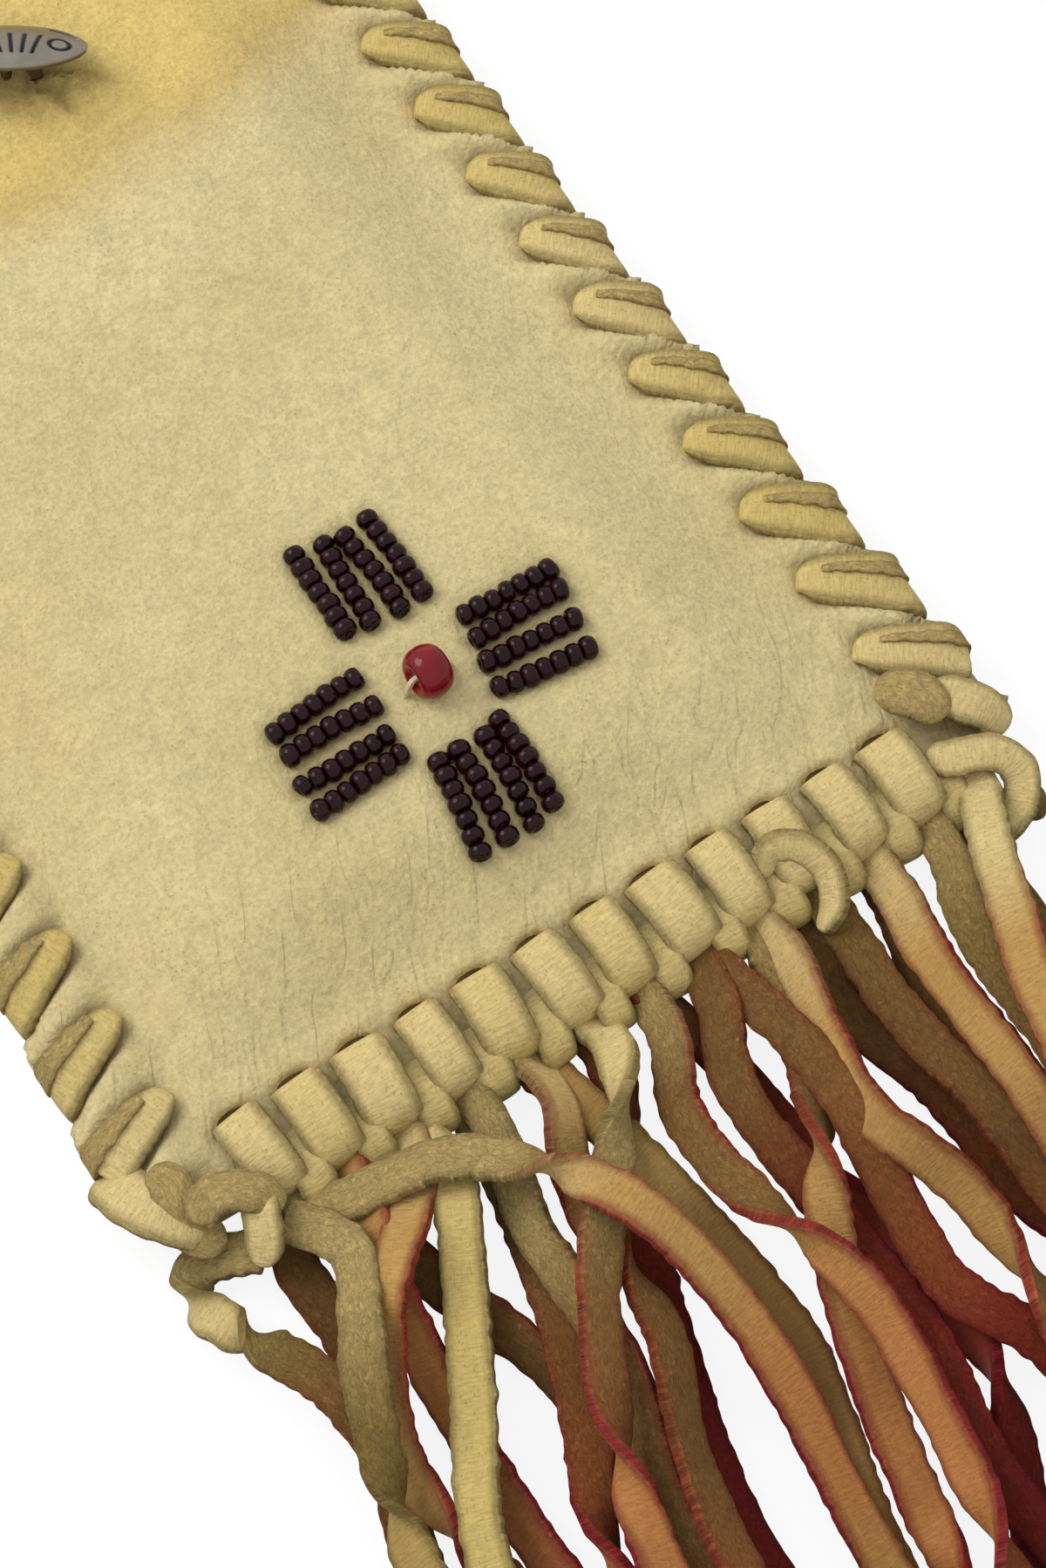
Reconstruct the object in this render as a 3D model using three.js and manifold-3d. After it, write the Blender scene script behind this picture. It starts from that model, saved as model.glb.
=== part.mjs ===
import * as THREE from 'three';
import { mergeVertices } from 'three/addons/utils/BufferGeometryUtils.js';
import Module from 'manifold-3d';

// A small pouch of soft hide that lies on its back, in millimetres.
// +X runs across the pouch, +Y from the fringe to the flap, +Z up out of the front.
// The origin is on the outer face of the back panel, in the middle of the pouch.

// Hide, lace and the room left between neighbouring pieces.
const HIDE = 1.4;
const STRIP_THICKNESS = 1.4;
const CLEARANCE = 0.3;

// Outline of the pouch. The sides taper to the mouth and the bottom is cut a little askew.
const POUCH_HEIGHT = 172;
const BOTTOM_HALF_WIDTH = 56;
const MOUTH_HALF_WIDTH = 52;
const BOTTOM_SKEW = THREE.MathUtils.degToRad(2.5);
const FLAP_LENGTH = 57;
const FLAP_CORNER = 30;

// Room inside, and the flat seam margin that swells into it.
const POUCH_DEPTH = 7.5;
const MARGIN_FLAT = 10;
const FRONT_SWELL_END = 27;
const BACK_SETTLE_END = 21;
const FLAP_SETTLE = 25;
const PANEL_COLUMNS = 14;
const FRONT_ROWS = 16;
const BACK_ROWS = 22;

// Side lacing: one hole every pitch, the lowest one level on both sides.
// The right lace slants more steeply down the front than the left one.
const SIDE_MARGIN = 7.5;
const LACE_PITCH = 11;
const LOWEST_HOLE = 16.2;
const TOP_HOLE_MARGIN = 9;
const LACE_RUN = 7.2;
const LACE_GATHER = 0.6;
const LEFT_FRONT_SHARE = 0.3;
const RIGHT_FRONT_SHARE = 0.56;
const LACE_ROUNDING = 0.8;
const LAST_STITCH = 5;
const KNOT_SIZE = new THREE.Vector3(4.6, 4.2, 2.4);
const KNOT_INSET = 2.5;
const KNOT_DROP = 4.5;

// Fringe: one doubled strip through each hole of the bottom seam.
const FRINGE_COUNT = 12;
const FRINGE_MARGIN = 8;
const STRIP_WIDTH = 5;
const FRINGE_INSET = 13.8;
const BAND_ROUNDING = 1.6;
const TAIL_STEP = 2;
const TAIL_STRIDE = 3;
const TAIL_SLOPE = 0.35;
const TAIL_ROOT = 1.4;
const TAIL_STRAIGHT = 3;

// Beadwork: four squares of lanes round one large bead.
const MOTIF_CENTRE = new THREE.Vector2(3.5, -46);
const SQUARE_DISTANCE_ACROSS = 12.7;
const SQUARE_DISTANCE_ALONG = 14.9;
const LANES = 4;
const LANE_PITCH = 3.2;
const BEADS_PER_LANE = 7;
const SEED_RADIUS = 1.35;
const SEED_WAIST = 0.9;
const SEED_LENGTH = 1.85;
const LARGE_RADIUS = 3.2;
const LARGE_LENGTH = 4.5;
const LARGE_BORE = 0.9;
const LARGE_ROUNDING = 1.2;
const THREAD = 0.7;

// Button: a stamped plate on a wire shank that rocks on its thong.
const BUTTON_PLACE = new THREE.Vector2(6, 48.5);
const BUTTON_TURN = THREE.MathUtils.degToRad(-34.2);
const BUTTON_LEAN = THREE.MathUtils.degToRad(-31);
const PLATE_HALF_LENGTH = 10;
const PLATE_HALF_WIDTH = 4.75;
const PLATE_THICKNESS = 0.9;
const PLATE_DOME = 1.4;
const PLATE_RINGS = 4;
const PLATE_SIDES = 28;
const SHANK_WIRE = 1.2;
const THONG = 1.4;
const THONG_LEGS = 7;
const THONG_RISE = 2.2;
const BUTTON_SLIT = 2.2;

// Heights that follow from the sizes above.
const SEAM_LIFT = STRIP_THICKNESS + 2 * CLEARANCE;
const SEAM_FRONT = SEAM_LIFT + HIDE + CLEARANCE;
const SEAM_TOP = SEAM_FRONT + HIDE;
const FRONT_INSIDE = HIDE + POUCH_DEPTH;
const FRONT_TOP = FRONT_INSIDE + HIDE;
const LACE_OVER = SEAM_TOP + CLEARANCE + STRIP_THICKNESS / 2;
const LACE_UNDER = SEAM_LIFT - CLEARANCE - STRIP_THICKNESS / 2;
const LAYER = STRIP_THICKNESS + 1.5 * CLEARANCE;
const TAIL_REACH = Math.hypot(STRIP_WIDTH + CLEARANCE, TAIL_STEP / 2);
const MOUTH = POUCH_HEIGHT / 2;
const BOTTOM = -POUCH_HEIGHT / 2;
const FLAP_END = MOUTH + FLAP_LENGTH;
const ALL_THROUGH = 4 * FRONT_TOP;

// Tails of the fringe in the order in which they lie, the lowest first.
// strip counts the bottom holes from the left, bends are steps from that strip's root.
const FRINGE_TAILS = [
  { strip: 1, bends: [[-3, -8], [-3, -18], [-7, -33], [-11, -48], [-12, -75], [-8, -106]] },
  { strip: 2, bends: [[-1, -8], [1, -18], [6, -34], [6, -50], [2, -66], [0, -85], [4, -108]] },
  { strip: 2, bends: [[-1, -7], [-4, -17], [-6, -36], [-6, -55], [-3, -80], [-6, -106]] },
  { strip: 10, bends: [[-4, -9], [-5, -15], [-2, -27], [-1, -44], [3, -70], [1, -110]] },
  { strip: 7, bends: [[2, -8], [4, -20], [6, -42], [7, -58], [-1, -78], [-3, -95], [0, -111]] },
  { strip: 6, bends: [[0, -7], [-5, -17], [-13, -39], [-18, -60], [-18, -85], [-21, -106]] },
  { strip: 5, bends: [[2, -8], [5, -24], [7, -44], [2, -64], [-1, -85], [2, -108]] },
  { strip: 8, bends: [[-2, -8], [-6, -17], [-6, -33], [-5, -50], [-8, -68], [-6, -90], [-9, -111]] },
  { strip: 4, bends: [[-1, -8], [-4, -22], [-10, -39], [-16, -52], [-18, -70], [-15, -95], [-16, -110]] },
  { strip: 11, bends: [[-1, -8], [-5, -24], [-6, -44], [-8, -70], [-4, -110]] },
  { strip: 9, bends: [[-2, -9], [-6, -19], [-17, -40], [-22, -58], [-25, -75], [-24, -95], [-27, -106]] },
  { strip: 12, bends: [[2, -7], [3, -17], [0, -30], [-2, -50], [1, -75], [-2, -110]] },
  { strip: 3, bends: [[-2, -7], [-7, -12], [-15, -20], [-21, -32], [-20, -46], [-17, -70], [-20, -96]] },
  { strip: 3, bends: [[1, -8], [-3, -17], [-11, -31], [-19, -45], [-24, -62], [-24, -85], [-21, -102]] },
  { strip: 4, bends: [[0, -8], [-3, -20], [-4, -38], [-9, -57], [-10, -80], [-6, -108]] },
  { strip: 5, bends: [[0, -8], [-4, -18], [-6, -36], [-12, -52], [-15, -75], [-11, -106]] },
  { strip: 6, bends: [[1, -6], [-3, -13], [-17, -29], [-25, -45], [-30, -65], [-32, -85], [-28, -102]] },
  { strip: 7, bends: [[-1, -8], [-5, -17], [-5, -30], [-1, -48], [-4, -70], [-8, -90], [-7, -110]] },
  { strip: 8, bends: [[1, -8], [2, -20], [0, -40], [0, -50], [5, -60], [9, -80], [8, -110]] },
  { strip: 9, bends: [[0, -8], [-3, -18], [-5, -30], [-1, -43], [-1, -60], [-3, -85], [1, -110]] },
  { strip: 10, bends: [[0, -8], [-1, -20], [0, -46], [-2, -70], [2, -111]] },
  { strip: 11, bends: [[-1, -8], [-3, -20], [-4, -40], [-3, -65], [-6, -90], [-5, -112]] },
  { strip: 12, bends: [[-1, -7], [-5, -17], [-7, -33], [-10, -55], [-9, -80], [-12, -111]] },
  { strip: 1, bends: [[3, -5], [9, -7], [16, -9], [22, -14], [28, -23], [32, -35], [33, -50], [31, -66],
    [30, -85], [33, -100]] },
];

// Loose ends of the two side laces, as steps from the knot at the lower corner.
const LACE_TAILS = {
  left: [
    [[-2, -9], [-3, -15], [0, -22], [3, -30], [4, -38]],
    [[5.5, -10], [10.5, -14], [13, -20], [9, -27], [5, -35], [1, -47], [-1, -63], [1, -81]],
  ],
  right: [
    [[-4.5, -9], [-8.5, -17], [-13, -27], [-17, -37], [-21, -57], [-19, -77]],
  ],
};

// One place for the colours of the real materials.
const hideMaterial = new THREE.MeshStandardMaterial({ color: 0xcfc08e, roughness: 0.9 });
const laceMaterial = new THREE.MeshStandardMaterial({ color: 0xcdb57a, roughness: 0.8 });
const fringeMaterial = new THREE.MeshStandardMaterial({ color: 0xb9824c, roughness: 0.8 });
const seedMaterial = new THREE.MeshStandardMaterial({ color: 0x2a0f14, roughness: 0.2 });
const largeMaterial = new THREE.MeshStandardMaterial({ color: 0x8e1220, roughness: 0.3 });
const threadMaterial = new THREE.MeshStandardMaterial({ color: 0xe6dcc8, roughness: 0.9 });
const silverMaterial = new THREE.MeshStandardMaterial({ color: 0x8a8681, roughness: 0.4, metalness: 1 });
const thongMaterial = new THREE.MeshStandardMaterial({ color: 0x6b4a2f, roughness: 0.9 });

const wasm = await Module();
wasm.setup();

const bag = new THREE.Group();

function toSolid(geometry) {
  const bare = new THREE.BufferGeometry();
  bare.setAttribute('position', geometry.getAttribute('position'));
  bare.setIndex(geometry.getIndex());
  const welded = mergeVertices(bare);
  return new wasm.Manifold(new wasm.Mesh({
    numProp: 3,
    vertProperties: new Float32Array(welded.getAttribute('position').array),
    triVerts: new Uint32Array(welded.getIndex().array),
  }));
}

function toGeometry(solid) {
  const mesh = solid.getMesh();
  const geometry = new THREE.BufferGeometry();
  geometry.setAttribute('position', new THREE.BufferAttribute(mesh.vertProperties, 3));
  geometry.setIndex(new THREE.BufferAttribute(mesh.triVerts, 1));
  geometry.computeVertexNormals();
  return geometry;
}

function addPiece(name, geometry, material, parent = bag) {
  const mesh = new THREE.Mesh(geometry, material);
  mesh.name = name;
  parent.add(mesh);
  return mesh;
}

// The outline: how far the hide reaches sideways at a height, and where its bottom edge is.
function pouchHalfWidth(y) {
  const share = (y - BOTTOM) / POUCH_HEIGHT;
  return THREE.MathUtils.lerp(BOTTOM_HALF_WIDTH, MOUTH_HALF_WIDTH, Math.min(share, 1));
}

function backHalfWidth(y) {
  const intoCorner = Math.max(y - (FLAP_END - FLAP_CORNER), 0);
  return pouchHalfWidth(y) - FLAP_CORNER + Math.sqrt(Math.max(FLAP_CORNER ** 2 - intoCorner ** 2, 0));
}

function bottomEdge(x) {
  return BOTTOM - x * Math.tan(BOTTOM_SKEW);
}

// Height of each panel's lower face. Both are flat along the seam margins.
function risen(distance, end) {
  return THREE.MathUtils.smoothstep(distance, MARGIN_FLAT, end);
}

function frontHeight(x, y) {
  const aside = risen(pouchHalfWidth(y) - Math.abs(x), FRONT_SWELL_END);
  const along = risen(y - bottomEdge(x), FRONT_SWELL_END);
  return THREE.MathUtils.lerp(SEAM_FRONT, FRONT_INSIDE, aside * along);
}

function backHeight(x, y) {
  const aside = risen(pouchHalfWidth(y) - Math.abs(x), BACK_SETTLE_END);
  const along = risen(y - bottomEdge(x), BACK_SETTLE_END);
  const flap = THREE.MathUtils.smoothstep(y, MOUTH, MOUTH + FLAP_SETTLE);
  return SEAM_LIFT * (1 - aside * along) * (1 - flap);
}

// Grid lines lie closer together near the edges, where the hide bends.
function crowded(u) {
  return (3 * u - u ** 3) / 2;
}

function panel(rows, top, halfWidth, heightAt) {
  const geometry = new THREE.BoxGeometry(2, 2, HIDE, PANEL_COLUMNS, rows, 1);
  const place = geometry.getAttribute('position');
  for (let i = 0; i < place.count; i += 1) {
    const across = crowded(place.getX(i));
    const along = (crowded(place.getY(i)) + 1) / 2;
    const bottom = bottomEdge(across * BOTTOM_HALF_WIDTH);
    const y = THREE.MathUtils.lerp(bottom, top, along);
    const x = across * halfWidth(y);
    place.setXYZ(i, x, y, place.getZ(i) + HIDE / 2 + heightAt(x, y));
  }
  return toSolid(geometry);
}

function cutterBox(x, y, sizeX, sizeY, turn = 0) {
  const geometry = new THREE.BoxGeometry(sizeX, sizeY, ALL_THROUGH);
  geometry.rotateZ(turn);
  geometry.translate(x, y, 0);
  return toSolid(geometry);
}

// Places of the lacing holes on one side, the lowest first, and of the fringe holes.
function sideHoles(side) {
  const holes = [];
  for (let y = BOTTOM + LOWEST_HOLE; y < MOUTH - TOP_HOLE_MARGIN; y += LACE_PITCH) {
    holes.push(new THREE.Vector2(side * (pouchHalfWidth(y) - SIDE_MARGIN), y));
  }
  return holes;
}

function fringeHoles() {
  const holes = [];
  const reach = BOTTOM_HALF_WIDTH - FRINGE_INSET;
  for (let i = 0; i < FRINGE_COUNT; i += 1) {
    const x = THREE.MathUtils.lerp(-reach, reach, i / (FRINGE_COUNT - 1));
    holes.push(new THREE.Vector2(x, bottomEdge(x) + FRINGE_MARGIN));
  }
  return holes;
}

// A strip swept through given points, with its width and its thickness along given vectors.
class StripRoute extends THREE.Curve {
  constructor(points, widths, upright) {
    super();
    this.points = points;
    this.frames = { tangents: widths, normals: widths, binormals: upright };
  }

  getPoint(t) {
    return this.points[Math.round(t * (this.points.length - 1))].clone();
  }

  getSpacedPoints() {
    return this.points;
  }

  computeFrenetFrames() {
    return this.frames;
  }
}

function sweptStrip(points, widths, upright, width) {
  const section = new THREE.Shape([
    new THREE.Vector2(-width / 2, -STRIP_THICKNESS / 2),
    new THREE.Vector2(width / 2, -STRIP_THICKNESS / 2),
    new THREE.Vector2(width / 2, STRIP_THICKNESS / 2),
    new THREE.Vector2(-width / 2, STRIP_THICKNESS / 2),
  ]);
  const extrudePath = new StripRoute(points, widths, upright);
  return toSolid(new THREE.ExtrudeGeometry(section, { steps: points.length - 1, extrudePath }));
}

function directionAt(points, i) {
  const before = points[Math.max(i - 1, 0)];
  const after = points[Math.min(i + 1, points.length - 1)];
  return after.clone().sub(before).normalize();
}

// Loose tails are laid one after the other, each over whatever already lies in its way.
const laid = [];

function layTail(start, bends, overBag = false) {
  const plan = new THREE.SplineCurve([
    start.clone(),
    new THREE.Vector2(start.x, start.y - TAIL_STRAIGHT),
    ...bends.map(([dx, dy]) => new THREE.Vector2(start.x + dx, start.y + dy)),
  ]);
  const strides = Math.round(plan.getLength() / (TAIL_STEP * TAIL_STRIDE));
  const places = plan.getSpacedPoints(strides * TAIL_STRIDE);
  const free = places.map((place) => {
    const onBag = overBag && place.y > bottomEdge(place.x) - STRIP_WIDTH / 2 - CLEARANCE;
    const ground = onBag ? LACE_OVER : LACE_UNDER;
    const under = laid.filter((other) => Math.hypot(place.x - other.x, place.y - other.y) < TAIL_REACH);
    return Math.max(ground, ...under.map((other) => other.z + LAYER));
  });
  const draped = places.map((place, i) => (
    Math.max(...free.map((height, k) => height - TAIL_SLOPE * TAIL_STEP * Math.abs(i - k)))
  ));
  const points = [];
  for (let i = 0; i < places.length; i += TAIL_STRIDE) {
    const nearby = draped.slice(Math.max(i - TAIL_STRIDE, 0), i + TAIL_STRIDE + 1);
    points.push(new THREE.Vector3(places[i].x, places[i].y, Math.max(...nearby)));
  }
  places.forEach((place, i) => {
    const station = Math.min(Math.floor(i / TAIL_STRIDE), strides - 1);
    const share = i / TAIL_STRIDE - station;
    const z = THREE.MathUtils.lerp(points[station].z, points[station + 1].z, share);
    laid.push(new THREE.Vector3(place.x, place.y, z));
  });
  const along = points.map((point, i) => directionAt(points, i));
  const widths = along.map((way) => new THREE.Vector3(-way.y, way.x, 0).normalize());
  const upright = along.map((way, i) => way.clone().cross(widths[i]).normalize());
  return { solid: sweptStrip(points, widths, upright, STRIP_WIDTH), rootHeight: points[0].z };
}

// Where a tail leaves its band above the seam, the strip climbs the band's outer wall to meet it.
function tailNeck(root, height) {
  const rise = height - LACE_UNDER;
  const geometry = new THREE.BoxGeometry(STRIP_WIDTH, STRIP_THICKNESS, rise);
  geometry.translate(root.x, root.y + TAIL_ROOT - CLEARANCE - STRIP_THICKNESS / 2, LACE_UNDER + rise / 2);
  return toSolid(geometry);
}

function frontShare(side) {
  return side < 0 ? LEFT_FRONT_SHARE : RIGHT_FRONT_SHARE;
}

// One side lace: out of a hole, slantwise over the seam, round the edge and back to the next hole.
function laceTurn(side, hole, next) {
  const edge = (y) => side * (pouchHalfWidth(y) + CLEARANCE + STRIP_THICKNESS / 2);
  const drop = (hole.y - next.y) * frontShare(side);
  const rimY = hole.y - drop;
  const rimX = edge(rimY);
  const r = LACE_ROUNDING;
  const slant = (drop * r) / Math.abs(rimX - hole.x);
  return [
    [hole.x, hole.y, LACE_UNDER + r, LACE_GATHER],
    [hole.x, hole.y, LACE_OVER - r, LACE_GATHER],
    [hole.x + side * r, hole.y - slant, LACE_OVER, (1 + LACE_GATHER) / 2],
    [(hole.x + rimX) / 2, (hole.y + rimY) / 2, LACE_OVER, 1],
    [rimX - side * r, rimY + slant, LACE_OVER, 1],
    [rimX, rimY, LACE_OVER - r, 1],
    [rimX, rimY, LACE_UNDER + r, 1],
    [rimX - side * r, rimY, LACE_UNDER, 1],
    [next.x + side * r, next.y, LACE_UNDER, LACE_GATHER],
  ];
}

function sideLace(side, holes) {
  const below = new THREE.Vector2(holes[0].x, holes[0].y - LACE_PITCH);
  const down = [...holes].reverse();
  const turns = down.map((hole, i) => laceTurn(side, hole, down[i + 1] ?? below));
  const last = turns.pop();
  const route = [...turns.flat(), ...last.slice(0, LAST_STITCH)];
  const points = route.map(([x, y, z]) => new THREE.Vector3(x, y, z));
  const across = new THREE.Vector3(0, side, 0);
  const widths = route.map((stop) => across.clone().multiplyScalar(stop[3]));
  const upright = points.map((point, i) => directionAt(points, i).setY(0).cross(across).normalize());
  return sweptStrip(points, widths, upright, LACE_RUN);
}

function knotLump(knot) {
  const geometry = new THREE.SphereGeometry(1, 10, 7);
  geometry.rotateX(Math.PI / 2);
  geometry.scale(KNOT_SIZE.x, KNOT_SIZE.y, KNOT_SIZE.z);
  geometry.translate(knot.x, knot.y, SEAM_TOP + CLEARANCE + KNOT_SIZE.z);
  return toSolid(geometry);
}

function laceKnot(side, lowest) {
  const y = lowest.y - LACE_PITCH * frontShare(side);
  return new THREE.Vector2(side * (pouchHalfWidth(y) - KNOT_INSET), y - KNOT_DROP);
}

// A flat loop with rounded corners: outlines in its own plane, drawn out sideways.
function roundedOutline(path, left, right, low, high, r) {
  path.moveTo(left + r, low);
  path.lineTo(right - r, low);
  path.quadraticCurveTo(right, low, right, low + r);
  path.lineTo(right, high - r);
  path.quadraticCurveTo(right, high, right - r, high);
  path.lineTo(left + r, high);
  path.quadraticCurveTo(left, high, left, high - r);
  path.lineTo(left, low + r);
  path.quadraticCurveTo(left, low, left + r, low);
  return path;
}

function loopGeometry(left, right, low, high, wall, depth, rounding) {
  const shape = roundedOutline(new THREE.Shape(), left - wall, right + wall, low - wall, high + wall, rounding);
  shape.holes.push(roundedOutline(new THREE.Path(), left, right, low, high, rounding / 4));
  const geometry = new THREE.ExtrudeGeometry(shape, { depth, bevelEnabled: false, curveSegments: 3 });
  geometry.translate(0, 0, -depth / 2);
  return geometry;
}

function fringeBand(hole) {
  const low = LACE_UNDER + STRIP_THICKNESS / 2;
  const high = LACE_OVER - STRIP_THICKNESS / 2;
  const edge = bottomEdge(hole.x) - CLEARANCE;
  const inner = hole.y - STRIP_THICKNESS / 2;
  const geometry = loopGeometry(edge, inner, low, high, STRIP_THICKNESS, STRIP_WIDTH, BAND_ROUNDING);
  const upright = new THREE.Matrix4().makeBasis(
    new THREE.Vector3(0, 1, 0),
    new THREE.Vector3(0, 0, 1),
    new THREE.Vector3(1, 0, 0),
  );
  geometry.applyMatrix4(upright);
  geometry.translate(hole.x, 0, 0);
  return toSolid(geometry);
}

// A thread or thong that comes up through the hide, bridges a gap and goes down again.
function stitchGeometry(span, top, wall) {
  const low = FRONT_INSIDE - CLEARANCE;
  const geometry = loopGeometry(-span / 2, span / 2, low, top, wall, wall, wall);
  geometry.rotateX(Math.PI / 2);
  return geometry;
}

// Front and back panels with all their holes.
const leftHoles = sideHoles(-1);
const rightHoles = sideHoles(1);
const bottomHoles = fringeHoles();
const laceSlit = LACE_RUN * LACE_GATHER + 2 * CLEARANCE;
const stripSlit = STRIP_THICKNESS + 2 * CLEARANCE;

let front = panel(FRONT_ROWS, MOUTH, pouchHalfWidth, frontHeight);
let back = panel(BACK_ROWS, FLAP_END, backHalfWidth, backHeight);
for (const hole of [...leftHoles, ...rightHoles]) {
  const slit = cutterBox(hole.x, hole.y, stripSlit, laceSlit);
  front = front.subtract(slit);
  back = back.subtract(slit);
}
for (const hole of bottomHoles) {
  const slit = cutterBox(hole.x, hole.y, STRIP_WIDTH + 2 * CLEARANCE, stripSlit);
  front = front.subtract(slit);
  back = back.subtract(slit);
}
for (const end of [-1, 1]) {
  const reach = new THREE.Vector2((end * (THONG_LEGS + THONG)) / 2, 0).rotateAround(new THREE.Vector2(), BUTTON_TURN);
  const place = BUTTON_PLACE.clone().add(reach);
  const thongHole = THONG + 2 * CLEARANCE;
  front = front.subtract(cutterBox(place.x, place.y, thongHole, thongHole, BUTTON_TURN));
  const threadX = MOTIF_CENTRE.x + end * (LARGE_LENGTH / 2 + CLEARANCE + THREAD / 2);
  const threadHole = THREAD + 2 * CLEARANCE;
  front = front.subtract(cutterBox(threadX, MOTIF_CENTRE.y, threadHole, threadHole));
}
const slitY = MOUTH + (MOUTH - BUTTON_PLACE.y);
back = back.subtract(cutterBox(BUTTON_PLACE.x, slitY, 2 * PLATE_HALF_LENGTH + BUTTON_SLIT, BUTTON_SLIT));
addPiece('front_panel', toGeometry(front), hideMaterial);
addPiece('back_panel', toGeometry(back), hideMaterial);

// Fringe strips: a band round the bottom seam and two tails each.
const bands = bottomHoles.map((hole) => fringeBand(hole));
for (const { strip, bends } of FRINGE_TAILS) {
  const hole = bottomHoles[strip - 1];
  const root = new THREE.Vector2(hole.x, bottomEdge(hole.x) - TAIL_ROOT);
  const tail = layTail(root, bends);
  bands[strip - 1] = bands[strip - 1].add(tail.solid);
  if (tail.rootHeight > LACE_OVER + CLEARANCE) {
    bands[strip - 1] = bands[strip - 1].add(tailNeck(root, tail.rootHeight));
  }
}
bands.forEach((band, i) => {
  addPiece(`fringe_strip_${String(i + 1).padStart(2, '0')}`, toGeometry(band), fringeMaterial);
});

// Side laces, each with its knot and loose ends at the lower corner.
for (const [name, side, holes] of [['left', -1, leftHoles], ['right', 1, rightHoles]]) {
  const knot = laceKnot(side, holes[0]);
  let lace = sideLace(side, holes).add(knotLump(knot));
  for (const bends of LACE_TAILS[name]) {
    lace = lace.add(layTail(knot, bends, true).solid);
  }
  addPiece(`side_lace_${name}`, toGeometry(lace), laceMaterial);
}

// Lanes of seed beads: each lane is one string of beads that touch.
function laneGeometry() {
  const half = (BEADS_PER_LANE * SEED_LENGTH) / 2;
  const profile = [new THREE.Vector2(0, -half), new THREE.Vector2(SEED_WAIST, -half)];
  for (let i = 0; i < BEADS_PER_LANE; i += 1) {
    const start = -half + i * SEED_LENGTH;
    profile.push(new THREE.Vector2(SEED_RADIUS, start + SEED_LENGTH / 2));
    profile.push(new THREE.Vector2(SEED_WAIST, start + SEED_LENGTH));
  }
  profile.push(new THREE.Vector2(0, half));
  return new THREE.LatheGeometry(profile, 7);
}

const squares = [
  ['upper', 0, SQUARE_DISTANCE_ALONG, 0],
  ['right', SQUARE_DISTANCE_ACROSS, 0, Math.PI / 2],
  ['lower', 0, -SQUARE_DISTANCE_ALONG, 0],
  ['left', -SQUARE_DISTANCE_ACROSS, 0, Math.PI / 2],
];
for (const [name, dx, dy, turn] of squares) {
  const square = new THREE.Group();
  const lift = FRONT_TOP + CLEARANCE + SEED_RADIUS;
  square.position.set(MOTIF_CENTRE.x + dx, MOTIF_CENTRE.y + dy, lift);
  square.rotation.z = turn;
  bag.add(square);
  for (let lane = 0; lane < LANES; lane += 1) {
    const piece = addPiece(`bead_lane_${name}_${lane + 1}`, laneGeometry(), seedMaterial, square);
    piece.position.x = (lane - (LANES - 1) / 2) * LANE_PITCH;
  }
}

// The large bead lies on its side, with its bore across the pouch and a thread through it.
function largeBeadGeometry() {
  const half = LARGE_LENGTH / 2;
  const shoulder = half - LARGE_ROUNDING;
  const collar = LARGE_RADIUS - LARGE_ROUNDING;
  const profile = [
    new THREE.Vector2(LARGE_BORE, -half),
    new THREE.Vector2(collar, -half),
    new THREE.Vector2(LARGE_RADIUS, -shoulder),
    new THREE.Vector2(LARGE_RADIUS, shoulder),
    new THREE.Vector2(collar, half),
    new THREE.Vector2(LARGE_BORE, half),
    new THREE.Vector2(LARGE_BORE, -half),
  ];
  return new THREE.LatheGeometry(profile, 18);
}

const boreHeight = FRONT_TOP + CLEARANCE + LARGE_RADIUS;
const largeBead = addPiece('centre_bead', largeBeadGeometry(), largeMaterial);
largeBead.position.set(MOTIF_CENTRE.x, MOTIF_CENTRE.y, boreHeight);
largeBead.rotation.z = Math.PI / 2;
const beadSpan = LARGE_LENGTH + 2 * CLEARANCE;
const beadThread = stitchGeometry(beadSpan, boreHeight - THREAD / 2, THREAD);
addPiece('centre_bead_thread', beadThread, threadMaterial).position.set(MOTIF_CENTRE.x, MOTIF_CENTRE.y, 0);

// The button: its thong is sewn into the front, the shank rides on the thong and carries the plate.
const eyeHeight = FRONT_TOP + THONG_RISE + THONG / 2;
const eyeRadius = Math.hypot(THONG, THONG) / 2 + CLEARANCE;
const thong = addPiece('button_thong', stitchGeometry(THONG_LEGS, eyeHeight - THONG / 2, THONG), thongMaterial);
thong.position.set(BUTTON_PLACE.x, BUTTON_PLACE.y, 0);
thong.rotation.z = BUTTON_TURN;

const button = new THREE.Group();
button.position.set(BUTTON_PLACE.x, BUTTON_PLACE.y, eyeHeight);
button.rotation.set(BUTTON_LEAN, 0, BUTTON_TURN, 'ZYX');
bag.add(button);

const shankShape = new THREE.Shape().absarc(0, 0, eyeRadius + SHANK_WIRE, 0, 2 * Math.PI);
shankShape.holes.push(new THREE.Path().absarc(0, 0, eyeRadius, 0, 2 * Math.PI));
const shankGeometry = new THREE.ExtrudeGeometry(shankShape, {
  depth: SHANK_WIRE,
  bevelEnabled: false,
  curveSegments: 18,
});
shankGeometry.translate(0, 0, -SHANK_WIRE / 2);
shankGeometry.rotateY(Math.PI / 2);
addPiece('button_shank', shankGeometry, silverMaterial, button);

// The plate is a domed disc drawn out to a pointed oval between two arcs.
function plateReach(angle) {
  const arc = (PLATE_HALF_LENGTH ** 2 + PLATE_HALF_WIDTH ** 2) / (2 * PLATE_HALF_WIDTH);
  const offset = arc - PLATE_HALF_WIDTH;
  return Math.sqrt(arc ** 2 - (offset * Math.cos(angle)) ** 2) - offset * Math.abs(Math.sin(angle));
}

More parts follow.
